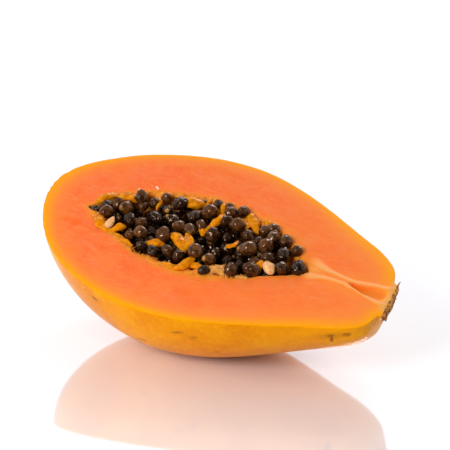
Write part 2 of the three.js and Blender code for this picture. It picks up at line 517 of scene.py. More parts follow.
@dataclass(frozen=True)
class WaxySkin:
    """Ripe papaya skin, smooth under its own wax: a satin sheen over soft patches of gold."""

    golden: str = "ec9600"
    orange: str = "e08200"
    yellow: str = "f8a802"
    scar: str = "8c4a0c"
    patch_size: float = 24
    mottle_size: float = 2.4
    mottle_share: float = 0.5
    pore_spacing: float = 2.6
    pore_share: float = 0.35
    pored_patch_size: float = 9
    scar_tear_size: float = 1.1
    dimple_size: float = 0.9
    rib_size: float = 4
    rib_stretch: float = 0.22
    marks: tuple[Mark, ...] = (
        Mark((61.4, -52.4, -6.3), (64.6, -53, -7.2), 1.1, 0.8),
        Mark((84.2, -51.2, -24), (88, -51.2, -24.4), 1.0, 0.8),
        Mark((103.9, -52.4, -10.2), (110.3, -51, -8.4), 0.8, 0.6),
        Mark((112.2, -50, -11.6), (115.8, -49.3, -11.2), 1.1, 0.5),
        Mark((121, -43.9, -22.4), (123, -43.1, -22.8), 1.0, 0.5),
        Mark((163.5, -29.2, -6.6), (177.4, -24.2, -4.8), 2.6, 0.3),
        Mark((168.8, -27.5, -5.6), (172.4, -26.2, -4.9), 1.3, 0.9),
        Mark((175.6, -24.5, -4.7), (178.6, -23.3, -4.7), 1.5, 0.95),
        Mark((171.4, -26.6, -5.0), (170.4, -25.6, -10.3), 1.2, 1.0),
    )

    def worn(self, tree: bpy.types.NodeTree, place: Any) -> Any:
        """Where the skin's pores are dark or it has healed over in a ragged scar.

        Args:
            tree: the material's tree.
            place: the coordinates.

        Returns:
            The output, from 0 on sound skin to 1.
        """
        links = {"Vector": place, "Scale": per(self.pore_spacing)}
        pores = node(tree, "TexVoronoi", links).outputs["Distance"]
        some = patches(tree, place, self.pored_patch_size, 0.5, 0.62)
        dots = node(tree, "MapRange", {0: pores, 1: 0.13, 2: 0.05, 3: 0.0, 4: self.pore_share}).outputs[0]
        worn = node(tree, "Math", {0: dots, 1: some}, operation="MULTIPLY").outputs[0]
        ragged = patches(tree, place, self.scar_tear_size, 0.2, 0.52, 4.0)
        for mark in self.marks:
            torn = node(tree, "Math", {0: mark.on(tree, place), 1: ragged}, operation="MULTIPLY").outputs[0]
            worn = node(tree, "Math", {0: worn, 1: torn}, operation="MAXIMUM").outputs[0]
        return worn

    def material(self) -> bpy.types.Material:
        """Mixes the skin's finish.

        Returns:
            The material.
        """
        made, tree, shader, place = start_finish(
            "waxy_papaya_skin", Roughness=0.28, IOR=1.33, Specular_IOR_Level=0.25,
            Specular_Tint=linear("ff9c20"), Subsurface_Weight=0.1, Subsurface_Radius=(1.0, 0.4, 0.1),
            Subsurface_Scale=2 * MM)
        broad = patches(tree, place, self.patch_size, 0.35, 0.68)
        fine = patches(tree, place, self.mottle_size, 0.4, 0.75, 5.0, 0.4)
        colour = coloured(tree, linear(self.golden), (
            (broad, 1, self.orange),
            (fine, self.mottle_share, self.yellow),
            (self.worn(tree, place), 1, self.scar),
        ))
        tree.links.new(colour, shader.inputs["Base Color"])
        links = {"Vector": place, "Scale": per(self.dimple_size), "Detail": 2.0}
        grain = node(tree, "TexNoise", links).outputs[0]
        relief = node(tree, "Bump", {"Height": grain, "Strength": 0.25, "Distance": 0.1 * MM}).outputs[0]
        drawn = node(tree, "Mapping", {"Vector": place, "Scale": (self.rib_stretch, 1.0, 1.0)}).outputs[0]
        links = {"Vector": drawn, "Scale": per(self.rib_size), "Detail": 3.0}
        ribs = node(tree, "TexNoise", links).outputs[0]
        links = {"Height": ribs, "Strength": 0.5, "Distance": 0.35 * MM, "Normal": relief}
        relief = node(tree, "Bump", links).outputs[0]
        tree.links.new(relief, shader.inputs["Normal"])
        return made


@dataclass(frozen=True)
class WetFlesh:
    """Ripe flesh just cut: soft cells full of juice, so it glows a little and shines where wet."""

    salmon: str = "fe7b38"
    coral: str = "fe6a34"
    orange: str = "fb6610"
    pale: str = "fe905c"
    # yellower and lighter toward the stem: partly the flesh's own colour, partly painted light
    mellow_and_painted_light: str = "fc8434"
    halo: str = "fe8c38"
    under_rind: str = "fe9822"
    rind: str = "fea204"
    lip: str = "f98e28"
    vein: str = "fea04a"
    vein_core: str = "fdb87a"
    pad: str = "eea654"
    # pocket colours: deep orange at its left end, paler toward its right end: painted shade on the left of
    # the hollow
    pocket: str = "f47008"
    pocket_end: str = "fb8c32"
    patch_size: float = 9
    mottle_size: float = 3.2
    streak_size: float = 4.5
    pale_size: float = 13
    fleck_size: float = 1.4
    cell_size: float = 0.8
    grain_size: float = 1.3
    # the mellow colour spreads over the whole cut, partly as painted light against the key lamp's fall-off
    mellow_from: float = -0.05
    mellow_to: float = 0.085
    pocket_from: float = 0.078
    pocket_to: float = 0.089
    mellow_share: float = 0.55
    edge_wave_size: float = 6
    edge_wave: float = 0.22
    fray_size: float = 1.8
    fray: float = 0.6
    drawn_turn: tuple[float, float, float] = (0.36, 0.13, 0.1)    # along the cut face, a little aslant
    drawn_out: tuple[float, float, float] = (0.3, 1.5, 1.0)
    fine_turn: tuple[float, float, float] = (0.36, 0.13, 0.3)
    fine_out: tuple[float, float, float] = (0.22, 1.0, 1.0)
    stem_end: str = "fe9636"
    round_stem_end: Mark = Mark((153, 1.6, 0), (186, 1, 0), 10, 0.7)
    coral_streaks: tuple[Mark, ...] = (
        Mark((149, -22.6, 0), (158, -18.8, 0), 3.0, 0.6),
        Mark((156, -19.2, 0), (166.5, -14.6, 0), 2.4, 0.6),
        Mark((163, -13.4, 0), (169.4, -10.6, 0), 2.0, 0.5),
        Mark((17, -20.8, 0), (30, -18, 0), 4.5, 0.8),
        Mark((55.5, -20.5, 0), (67.9, -26.4, 0), 2.6, 0.5),
        Mark((92, -37, 0), (113, -33.6, 0), 2.6, 0.4),
        Mark((58, 45, 0), (84, 46.6, 0), 3.4, 0.5),
    )
    pale_streaks: tuple[Mark, ...] = (
        Mark((150.4, -14.4, 0), (159.6, -12.8, 0), 1.4, 0.6),
        Mark((158, -14.8, 0), (164.6, -10.6, 0), 1.1, 0.6),
        Mark((152, -20.2, 0), (161, -17.4, 0), 0.9, 0.5),
        Mark((146, -6.6, 0), (156, -4.2, 0), 1.6, 0.5),
        Mark((40, -27.5, 0), (56, -33, 0), 1.6, 0.4),
        Mark((24, 8, 0), (40, 17.4, 0), 1.6, 0.4),
        Mark((96, 33, 0), (122, 27, 0), 1.8, 0.4),
    )

    def clouded(self, tree: bpy.types.NodeTree, place: Any, cloud: Any, mouth: Any) -> Any:
        """Colours the flesh: salmon clouded with coral, under fine pale grain.

        Args:
            tree: the material's tree.
            place: the coordinates.
            cloud: where the coral clouds are.
            mouth: the attribute that grows away from the mouth of the hollow.

        Returns:
            The colour's output.
        """
        mottle = patches(tree, place, self.mottle_size, 0.4, 0.7, 3.0, 0.4)
        drawn = node(tree, "Mapping", {"Vector": place, "Rotation": self.drawn_turn, "Scale": self.drawn_out})
        streak = patches(tree, drawn.outputs[0], self.streak_size, 0.42, 0.75, 4.0, 0.5)
        fine = node(tree, "Mapping", {"Vector": place, "Rotation": self.fine_turn, "Scale": self.fine_out})
        grain = patches(tree, fine.outputs[0], self.grain_size, 0.45, 0.75, 4.0, 0.4)
        flecks = patches(tree, place, self.fleck_size, 0.4, 0.8, 3.0)
        pale = patches(tree, place, self.pale_size, 0.45, 0.8, 3.0, 0.3)
        near = node(tree, "MapRange", {0: mouth, 1: 5.0, 2: 1.0}, interpolation_type="SMOOTHSTEP").outputs[0]
        return coloured(tree, linear(self.salmon), (
            (cloud, 1, self.coral),
            (streak, 0.6, self.orange),
            (near, 0.25, self.orange),
            (mottle, 0.35, self.coral),
            (pale, 0.35, self.pale),
            (grain, 0.45, self.pale),
            (flecks, 0.3, self.pale),
        ))

    def streaked(self, tree: bpy.types.NodeTree, place: Any, base: Any, along: Any) -> Any:
        """Draws the streaks in the flesh and mellows it toward the stem: partly its own colour, partly
        painted light that evens out the key lamp's fall-off.

        Args:
            tree: the material's tree.
            place: the coordinates.
            base: the colour below.
            along: the place along the fruit.

        Returns:
            The colour's output.
        """
        broken = patches(tree, place, self.streak_size, 0.25, 0.6, 4.0, 0.5)
        for streaks, code in ((self.coral_streaks, self.orange), (self.pale_streaks, self.pale)):
            for line in streaks:
                links = {0: line.on(tree, place), 1: broken}
                thin = node(tree, "Math", links, operation="MULTIPLY").outputs[0]
                base = coloured(tree, base, ((thin, 1, code),))
        woody = self.round_stem_end.on(tree, place)
        # yellower and lighter from the blossom end to the stem: partly the flesh's own colour, partly painted
        # light against the key lamp's fall-off
        links = {0: along, 1: self.mellow_from, 2: self.mellow_to, 4: self.mellow_share}
        mellow_and_painted_light_share = node(tree, "MapRange", links).outputs[0]
        return coloured(tree, base, ((woody, 1, self.stem_end), (mellow_and_painted_light_share, 1, self.mellow_and_painted_light)))

    def edged(self, tree: bpy.types.NodeTree, place: Any, base: Any, amount: dict[str, Any]) -> Any:
        """Turns the flesh golden in soft bands under the rind, and round the mouth of the hollow.

        Args:
            tree: the material's tree.
            place: the coordinates.
            base: the colour below.
            amount: the attributes of the cut face.

        Returns:
            The colour's output.
        """
        links = {"Vector": place, "Scale": per(self.edge_wave_size), "Detail": 3.0}
        uneven = node(tree, "TexNoise", links).outputs[0]
        shift = node(tree, "MapRange", {0: uneven, 3: -self.edge_wave, 4: self.edge_wave}).outputs[0]
        depth = node(tree, "Math", {0: amount["rind"], 1: shift}, operation="ADD").outputs[0]
        links = {"Vector": place, "Scale": per(self.fray_size), "Detail": 4.0}
        hair = node(tree, "TexNoise", links).outputs[0]
        frayed = node(tree, "MapRange", {0: hair, 1: 0.25, 2: 0.75, 3: -self.fray, 4: self.fray}).outputs[0]
        edge = node(tree, "Math", {0: amount["mouth"], 1: frayed}, operation="ADD").outputs[0]
        for away, outer, inner, most, code in (
            (depth, 2.8, 0.8, 0.7, self.halo),
            (depth, 1.25, 0.38, 1.0, self.under_rind),
            (depth, 0.58, 0.06, 1.0, self.rind),
            (edge, 1.1, 0.05, 0.85, self.lip),
        ):
            links = {0: away, 1: outer, 2: inner, 4: most}
            band = node(tree, "MapRange", links, interpolation_type="SMOOTHSTEP").outputs[0]
            base = coloured(tree, base, ((band, 1, code),))
        return base

    def bundled(self, tree: bpy.types.NodeTree, base: Any, along: Any, amount: dict[str, Any]) -> Any:
        """Lays on the pale bundles, pad and pocket of the stem end.

        Args:
            tree: the material's tree.
            base: the colour below.
            along: the place along the fruit.
            amount: the attributes of the cut face.

        Returns:
            The colour's output.
        """
        core = node(tree, "MapRange", {0: amount["vein"], 1: 0.7, 2: 1.0, 4: 0.45}).outputs[0]
        # deep orange to paler along the pocket: painted shade on its left end
        deep = node(tree, "MapRange", {0: along, 1: self.pocket_from, 2: self.pocket_to}).outputs[0]
        return coloured(tree, base, (
            (amount["vein"], 1, self.vein),
            (core, 1, self.vein_core),
            (amount["pad"], 1, self.pad),
            (amount["pocket"], 1, coloured(tree, linear(self.pocket), ((deep, 1, self.pocket_end),))),
        ))

    def material(self) -> bpy.types.Material:
        """Mixes the flesh's finish, which follows the attributes of the cut face.

        Returns:
            The material.
        """
        made, tree, shader, place = start_finish(
            "wet_papaya_flesh", IOR=1.36, Specular_IOR_Level=0.3, Specular_Tint=linear("ffa070"),
            Subsurface_Weight=0.3, Subsurface_Radius=(1.0, 0.35, 0.12), Subsurface_Scale=3 * MM)
        amount = {name: node(tree, "Attribute", attribute_name=name).outputs["Fac"] for name in FACE_TAGS}
        cloud = patches(tree, place, self.patch_size, 0.4, 0.62, 4.0, 0.6)
        along = node(tree, "SeparateXYZ", {0: place}).outputs["X"]
        base = self.clouded(tree, place, cloud, amount["mouth"])
        base = self.streaked(tree, place, base, along)
        base = self.edged(tree, place, base, amount)
        base = self.bundled(tree, base, along, amount)
        tree.links.new(base, shader.inputs["Base Color"])
        links = {"Vector": place, "Scale": per(self.cell_size), "Detail": 4.0}
        cells = node(tree, "TexNoise", links).outputs[0]
        relief = node(tree, "Bump", {"Height": cells, "Strength": 0.35, "Distance": 0.15 * MM}).outputs[0]
        tree.links.new(relief, shader.inputs["Normal"])
        wet = node(tree, "MapRange", {0: cloud, 3: 0.34, 4: 0.5}).outputs[0]
        tree.links.new(wet, shader.inputs["Roughness"])
        return made


@dataclass(frozen=True)
class Pulp:
    """Placenta pulp: soft amber tissue, clear enough to glow, wet and stringy."""

    name: str
    bright: str
    deep: str
    pale: str
    lump_size: float = 3.0
    thread_size: float = 0.7
    thread_share: float = 0.5
    glow: float = 0.5
    crease: float = 0.5

    def material(self) -> bpy.types.Material:
        """Mixes the pulp's finish.

        Returns:
            The material.
        """
        made, tree, shader, place = start_finish(
            self.name, Roughness=0.25, IOR=1.4, Specular_Tint=linear("ffb860"), Subsurface_Weight=self.glow,
            Subsurface_Radius=(1.0, 0.6, 0.08), Subsurface_Scale=1.5 * MM)
        lumps = patches(tree, place, self.lump_size, 0.42, 0.68, 3.0, 0.5)
        threads = patches(tree, place, self.thread_size, 0.5, 0.8, 4.0, 0.6)
        coats = ((lumps, 1, self.deep), (threads, self.thread_share, self.pale))
        tree.links.new(coloured(tree, linear(self.bright), coats), shader.inputs["Base Color"])
        links = {"Height": threads, "Strength": self.crease, "Distance": 0.15 * MM}
        relief = node(tree, "Bump", links).outputs[0]
        tree.links.new(relief, shader.inputs["Normal"])
        return made


@dataclass(frozen=True)
class SeedCoat:
    """Wrinkled black seed in its clear skin of jelly: wet, with small sharp lights."""

    black: str = "150602"
    brown: str = "4c260c"
    jelly: str = "74441a"
    tip: str = "c08a40"
    cloud_size: float = 2.2
    wrinkle_size: float = 0.9

    def material(self) -> bpy.types.Material:
        """Mixes the seeds' finish, which follows each seed's own tone, painted lighter at its top and darker
        at its bottom, and its jelly and tip.

        Returns:
            The material.
        """
        made, tree, shader, place = start_finish(
            "wet_papaya_seed", Roughness=0.1, IOR=1.6, Specular_Tint=linear("f2ccae"), Sheen_Weight=0.1,
            Sheen_Roughness=0.3, Sheen_Tint=linear("c89a60"))
        amount = {name: node(tree, "Attribute", attribute_name=name).outputs["Fac"] for name in SEED_TAGS}
        cloud = patches(tree, place, self.cloud_size, 0.35, 0.7)
        clear = node(tree, "Math", {0: amount["jelly"], 1: cloud}, operation="MULTIPLY").outputs[0]
        # brown by each seed's tone, which carries its painted top light and bottom shade
        coats = ((amount["tone"], 1, self.brown), (clear, 1, self.jelly), (amount["tip"], 1, self.tip))
        tree.links.new(coloured(tree, linear(self.black), coats), shader.inputs["Base Color"])
        links = {"Vector": place, "Scale": per(self.wrinkle_size), "Detail": 2.0}
        folds = node(tree, "TexNoise", links).outputs[0]
        bare = node(tree, "MapRange", {0: amount["jelly"], 3: 1.0, 4: 0.25}).outputs[0]
        folds = node(tree, "Math", {0: folds, 1: bare}, operation="MULTIPLY").outputs[0]
        relief = node(tree, "Bump", {"Height": folds, "Strength": 0.4, "Distance": 0.2 * MM}).outputs[0]
        tree.links.new(relief, shader.inputs["Normal"])
        return made


@dataclass(frozen=True)
class Cork:
    """Dry cork where the stem broke away: dull brown, cracked, with cream bits of fibre."""

    brown: str = "f0a448"
    dark: str = "8a4e18"
    cream: str = "f8d090"
    crack_size: float = 2.3
    fibre_size: float = 1.1

    def material(self) -> bpy.types.Material:
        """Mixes the crust's finish.

        Returns:
            The material.
        """
        made, tree, shader, place = start_finish("dry_stem_cork", Roughness=0.88, IOR=1.4)
        cracks = patches(tree, place, self.crack_size, 0.42, 0.62, 5.0, 0.6)
        bits = patches(tree, place, self.fibre_size, 0.56, 0.68, 3.0)
        colour = coloured(tree, linear(self.dark), ((cracks, 1, self.brown), (bits, 1, self.cream)))
        tree.links.new(colour, shader.inputs["Base Color"])
        relief = node(tree, "Bump", {"Height": cracks, "Strength": 0.6, "Distance": 0.3 * MM}).outputs[0]
        tree.links.new(relief, shader.inputs["Normal"])
        return made


# Thin placenta that lines the hollow: golden, nearly smooth, barely creased.
LINING = Pulp("placenta_lining", "fe9c30", "e8801c", "ffba60", 3.0, 0.9, crease=0.25)
# Thick placenta of the tags and strands: deep amber jelly that the light goes into.
AMBER = Pulp("amber_placenta", "e88e02", "c26e00", "fcae2a", 2.6, 1.3, 0.3, crease=0.2)
# Seed that never grew: a soft cream kernel, a little darker in its folds.
CREAM = Pulp("undeveloped_seed", "f2be84", "e8a25c", "fae0bc", 2.0, 0.6)
# Placenta torn into threads and half dry: dull straw, deeply creased.
STRAW = Pulp("straw_placenta", "e29a48", "b0702e", "f6ca8c", 1.8, 0.55, 0.7, glow=0.15, crease=0.8)
# Single torn threads of placenta: pale orange, too thin to glow.
FIBRE = Pulp("placenta_fibre", "f2a44c", "e08a30", "fbcc88", 3.0, 0.8, glow=0.0)
# Scraps of cell wall on the cut, wet, and white all over as painted highlights for their glints.
GLINT_WHITE_CRUMB = Pulp("crumb_painted_glint", "fff2e6", "ffdcc0", "ffffff", 2.0, 0.6, glow=0.2)


# ---------------------------------------------------------------- the half fruit


@dataclass
class PapayaHalf:
    """Skin, flesh and the lining of the hollow, grown as one and cut through the middle."""

    sides: int = 160
    stations: int = 240
    face_rings: int = 36
    lining_rings: int = 24
    lining_gather: float = 1.9
    rim_steps: tuple[tuple[float, float], ...] = ((0.2, -0.12), (0.6, -0.02), (1.2, 0.0), (2.0, 0.0))
    lip_steps: tuple[tuple[float, float], ...] = ((2.2, 0.0), (1.2, 0.0), (0.5, -0.08), (0.0, -0.25))
    shelf_end: float = 0.34
    undulation: float = 0.5
    undulation_size: float = 26
    undulation_radii: tuple[float, float] = (6, 20)    # each pair of radii: where it starts and is full
    nose_folds: tuple[float, int, float] = (0.7, 5, 0.8)    # depth, how many and their turn
    nose_run: tuple[float, float] = (26, 4)
    nose_radii: tuple[float, float] = (3, 12)
    nose_dents: Octave = (0.9, 4.5, 9.3)
    dents_run: tuple[float, float] = (34, 12)
    shoulder_folds: float = 0.5
    shoulder_waves: tuple[int, int] = (11, 3)
    shoulder_run: tuple[float, float] = (168, 181)
    shoulder_radii: tuple[float, float] = (10, 14)
    mouth_tears: tuple[Octave, ...] = ((0.7, 7, 3.1), (0.45, 2.6, 8.4), (0.2, 1.1, 5.7))
    wall_lumps: tuple[Octave, ...] = ((0.8, 5, 0), (0.5, 2.3, 3))
    wall_span: float = 20    # of the mouth's tears to a radian of the wall
    lumpy_from: float = 5    # the half-width of the mouth where its wall is as uneven as anywhere
    lumps_turn: tuple[float, float] = (0.02, 0.2)
    lip_turn: float = 0.16
    shelf_turn: float = 0.02
    shelf_lips: tuple[float, float] = (0.5, 2.5)
    rim_dip: float = 0.008
    rim_dip_least: float = 8
    face_dips: Octave = (0.12, 9, 2.2)
    face_grain: Octave = (0.05, 2.2, 6.1)
    vein_rise: float = 0.35
    vein_start: float = 141
    vein_swell: tuple[float, float, float] = (1.3, 156, 146)    # how much wider, and between which X
    vein_edge: tuple[float, float] = (1.5, 0.3)    # where it starts and is full, in half-widths
    vein_uneven: Octave = (0.35, 3, 1.7)
    heel_pale: tuple[float, float] = (0.8, 4.2)    # how pale, and its reach
    rind_band: float = 4
    rind_at_tip: tuple[float, float] = (4.5, 14)    # how much wider, and its reach
    rind_at_stem: tuple[float, float, float] = (3, 120, 178)    # how much wider, and between which X
    golden_band: float = 2.6
    golden_at_heel: tuple[float, float, float] = (4.5, 85, 128)
    golden_side: tuple[float, float] = (-4, 6)    # Y where that widening starts and is full
    heel: tuple[float, float] = (147.5, 3.4)
    heel_run: tuple[float, float] = (140, 148)
    veins: tuple[tuple[tuple[float, float], ...], ...] = (
        ((144.3, 7.6), (149.6, 6.1), (154, 5), (160.5, 4.2), (165.8, 3.6), (170.9, 4.2), (176.6, 5.8),
         (180.7, 6.3), (185, 7.1)),
        ((146, -1.9), (153.8, 0), (159, 0.6), (163.3, 0.8), (166.9, 0.2), (171.9, -1.2), (176.9, -2.7),
         (181.1, -3.7), (186, -4)),
    )
    vein_half_width: float = 1.15
    # Y and half-width of each fold that runs into the blossom tip.
    tip_folds: tuple[tuple[float, float], ...] = ((12.5, 1.3), (5, 1.2), (0.1, 1), (-3.8, 1))
    tip_fold_depth: float = 0.5
    tip_fold_radii: tuple[float, float] = (26, 12)
    tip_fold_run: tuple[float, float] = (30, 10)
    slit: tuple[float, float] = (0.62, 5)    # how much narrower the mouth is at its tip, and how far on
    pocket: tuple[tuple[float, float], ...] = ((167, 1.9), (173, 1.5), (178, 1.7), (180.6, 1.6))
    pocket_half_width: float = 3.9
    pocket_depth: float = 1.8
    pocket_start: float = 160
    pocket_least: float = 0.35
    pocket_floor: float = 0.45    # the share of its width that is flat
    pocket_widens: tuple[float, float] = (165, 176)
    pad_edge: tuple[float, float] = (182.6, 184.2)
    pad_uneven: Octave = (0.5, 3, 4.4)
    pad_high: tuple[float, float] = (12.5, 11)
    pad_low: tuple[float, float] = (-8.8, -5.8)

    def __post_init__(self) -> None:
        """Samples the outer profile once."""
        self.line = FORM.profile()

    def skin_point(self, share: float, side: float, down: float) -> Vector:
        """A point of the skin.

        Args:
            share: how far along the profile it lies, from the blossom tip to the stem.
            side: the Y part of its unit direction out of the length.
            down: the Z part.

        Returns:
            The point.
        """
        station, along, radius = self.line
        x = float(np.interp(share, station, along))
        r = float(np.interp(share, station, radius))
        angle = math.atan2(side, -down)
        where = Vector((x, r * side, r * down))
        r -= self.undulation * unit(rough(where, self.undulation_size)) * smooth(r, *self.undulation_radii)
        depth, folds, turn = self.nose_folds
        nose = smooth(x, *self.nose_run) * smooth(r, *self.nose_radii)
        r -= depth * nose * unit(math.cos(folds * angle + turn))
        depth, size, start = self.nose_dents
        dent = depth * smooth(x, *self.dents_run) * smooth(r, *self.nose_radii)
        r -= dent * unit(rough(where, size, start))
        many, few = self.shoulder_waves
        shoulder = smooth(x, *self.shoulder_run) * smooth(r, *self.shoulder_radii)
        r -= self.shoulder_folds * shoulder * unit(math.cos(many * angle) * math.cos(few * angle + 1))
        point = Vector((x, r * side, r * down))
        FORM.raise_pad(point)
        FORM.swell(point)
        fold = self.tip_fold_depth * max(bump(point.y, middle, reach) for middle, reach in self.tip_folds)
        point.x += fold * smooth(r, *self.tip_fold_radii) * smooth(x, *self.tip_fold_run)
        return point

    def mouth_point(self, share: float, side: float, turn: float) -> Vector:
        """A point of the hollow's wall.

        Args:
            share: how far along the mouth it lies.
            side: 1 on the +Y side and -1 on the other.
            turn: the angle down from the mouth, up to a right angle at the bottom.

        Returns:
            The point.
        """
        x = FORM.cavity_start + FORM.cavity_length * (1 - math.cos(math.pi * share)) / 2
        narrowing, reach = self.slit
        half = FORM.mouth_half_width(x) * (1 - narrowing * bump(x, FORM.cavity_start, reach))
        spot = Vector((x, side * half, self.wall_span * turn))
        half += layered(spot, self.mouth_tears) * smooth(half, 0, self.lumpy_from) * math.cos(turn)
        bottom = half * FORM.cavity_depth_share
        lip = FORM.lip(x, side)
        inward = lip * smooth(turn, 0, self.lip_turn) * math.cos(turn)
        inside = max(half * math.cos(turn) - inward, 0)
        shelf = smooth(lip, *self.shelf_lips) * smooth(turn, self.shelf_end, self.shelf_turn)
        point = Vector((x, FORM.mouth_middle(x) + side * inside, -bottom * math.sin(turn) * (1 - shelf)))
        lump = layered(point, self.wall_lumps) * smooth(turn, *self.lumps_turn)
        lump *= smooth(half, 0, self.lumpy_from)
        return point + Vector((0, -side * math.cos(turn), math.sin(turn))) * lump

    def relief(self, point: Vector) -> float:
        """The height of the cut face at a point, in millimetres.

        Args:
            point: where, in the fruit's frame.

        Returns:
            The height, without the rim's drop.
        """
        dip, size, start = self.face_dips
        height = -dip * unit(rough(point, size, start)) - layered(point, (self.face_grain,))
        height += self.vein_rise * self.vein(point)
        return height - self.pocket_depth * self.hollow(point)

    def vein(self, point: Vector) -> float:
        """How much of a pale vascular bundle there is at a point of the cut face, to 1.

        Args:
            point: where, in the fruit's frame.

        Returns:
            The share, from 0 to 1.
        """
        if point.x < self.vein_start:
            return 0.0
        flat = Vector((point.x, point.y))
        nearest = min(to_line(flat, line) for line in self.veins)
        wider, *swell = self.vein_swell
        half = self.vein_half_width * (1 + wider * smooth(point.x, *swell))
        half += layered(point, (self.vein_uneven,))
        start, full = self.vein_edge
        pale, reach = self.heel_pale
        heel = pale * bump((flat - Vector(self.heel)).length, 0, reach)
        return max(smooth(nearest, start * half, full * half), heel) * smooth(point.x, *self.heel_run)

    def hollow(self, point: Vector) -> float:
        """How deep the stem end's pocket is at a point of the cut face, from 0 to 1.

        Args:
            point: where, in the fruit's frame.

        Returns:
            The share of the pocket's full depth.
        """
        if point.x < self.pocket_start:
            return 0.0
        flat = Vector((point.x, point.y))
        wide = self.pocket_least + (1 - self.pocket_least) * smooth(point.x, *self.pocket_widens)
        half = self.pocket_half_width * wide
        return smooth(to_line(flat, self.pocket), half, self.pocket_floor * half)

    def pad(self, point: Vector) -> float:
        """How much of the firm pale pad under the stem there is at a point, from 0 to 1.

        Args:
            point: where, in the fruit's frame.

        Returns:
            The share.
        """
        along = point.x + FORM.end_skew * point.y + layered(point, (self.pad_uneven,))
        across = smooth(point.y, *self.pad_high) * smooth(point.y, *self.pad_low)
        return smooth(along, *self.pad_edge) * across

    def build(self) -> BMesh:
        """Shapes the half: a ball cut in two, with rings drawn over its face and down its hollow.

        Returns:
            The mesh.
        """
        bm = bmesh.new()
        bmesh.ops.create_uvsphere(bm, u_segments=self.sides, v_segments=self.stations, radius=1)
        bmesh.ops.rotate(bm, verts=bm.verts, matrix=Matrix.Rotation(math.pi / 2, 3, "Y"))
        parts = bm.verts[:] + bm.edges[:] + bm.faces[:]
        bmesh.ops.bisect_plane(bm, geom=parts, dist=1e-4, plane_no=(0, 0, 1), clear_outer=True)
        layers = bm.verts.layers.float
        share_of, side_of = layers.new("share"), layers.new("side")
        for vert in bm.verts:
            out = Vector((vert.co.y, vert.co.z))
            out = out.normalized() if out.length > 1e-4 else Vector((1, 0))
            vert[share_of] = math.acos(min(max(-vert.co.x, -1), 1)) / math.pi
            vert[side_of] = math.copysign(1, vert.co.y)
            vert.co = self.skin_point(vert[share_of], out.x, out.y)
        ring = [edge for edge in bm.edges if edge.is_boundary]
        rim = {vert: vert.co.copy() for edge in ring for vert in edge.verts}
        for vert, place in rim.items():
            vert.co.z = -self.rim_dip * math.hypot(place.y, self.rim_dip_least)
        for start in self.face_starts():
            ring = self.next_ring(bm, ring, 1)
            for vert in ring_verts(ring):
                outer = self.skin_point(vert[share_of], vert[side_of], 0)
                inner = self.mouth_point(vert[share_of], vert[side_of], 0)
                vert.co = start(outer, inner)
        for step in range(1, self.lining_rings + 1):
            ring = self.next_ring(bm, ring, 2)
            for vert in ring_verts(ring):
                turn = math.pi / 2 * (step / self.lining_rings) ** self.lining_gather
                vert.co = self.mouth_point(vert[share_of], vert[side_of], turn)
                vert.co.z -= self.lip_drop() * (1 - step / self.lining_rings)
        self.tag(bm)
        layers.remove(share_of)
        layers.remove(bm.verts.layers.float["side"])
        bmesh.ops.remove_doubles(bm, verts=bm.verts, dist=0.005)
        bmesh.ops.recalc_face_normals(bm, faces=bm.faces)
        return bm

    def lip_drop(self) -> float:
        """How far the mouth's edge lies below the cut face."""
        return -self.lip_steps[-1][1]

    def face_starts(self) -> Iterator[Callable[[Vector, Vector], Vector]]:
        """Yields, for each ring of the cut face, the rule that places its points.

        Yields:
            A function from a point of the rim and one of the mouth to the ring's point.
        """
        first, last = self.rim_steps[-1][0], self.lip_steps[0][0]

        def place(outer: Vector, inner: Vector, away: float, drop: float) -> Vector:
            """Puts a point at a distance from the rim, on the cut face's relief.

            Args:
                outer: the rim's point.
                inner: the mouth's point.
                away: the distance from the rim.
                drop: the height over the face's relief.

            Returns:
                The ring's point.
            """
            point = outer.lerp(inner, away / (inner - outer).length)
            point.z = drop + self.relief(point)
            return point

        for away, drop in self.rim_steps:
            yield lambda outer, inner, a=away, d=drop: place(outer, inner, a, d)
        for step in range(1, self.face_rings):
            part = step / self.face_rings
            yield lambda outer, inner, p=part: place(
                outer, inner, first + p * ((inner - outer).length - first - last), 0)
        for away, drop in self.lip_steps:
            yield lambda outer, inner, a=away, d=drop: place(outer, inner, (inner - outer).length - a, d)

    def next_ring(self, bm: BMesh, ring: Sequence[BMEdge], material: int) -> list[BMEdge]:
        """Extrudes the open edge by one ring of faces.

        Args:
            bm: the mesh.
            ring: the open edge.
            material: the number of the new faces' material.

        Returns:
            The new open edge.
        """
        made = bmesh.ops.extrude_edge_only(bm, edges=ring)["geom"]
        for part in made:
            if isinstance(part, BMFace):
                part.material_index = material
        return [part for part in made if isinstance(part, BMEdge) and part.is_boundary]

    def rind_width(self, x: float) -> float:
        """The width of the golden band under the rind at X.

        Args:
            x: the distance along the fruit.

        Returns:
            The width, in millimetres.
        """
        more, reach = self.rind_at_tip
        wider, *run = self.rind_at_stem
        return self.rind_band + more * math.exp(-x / reach) + wider * smooth(x, *run)

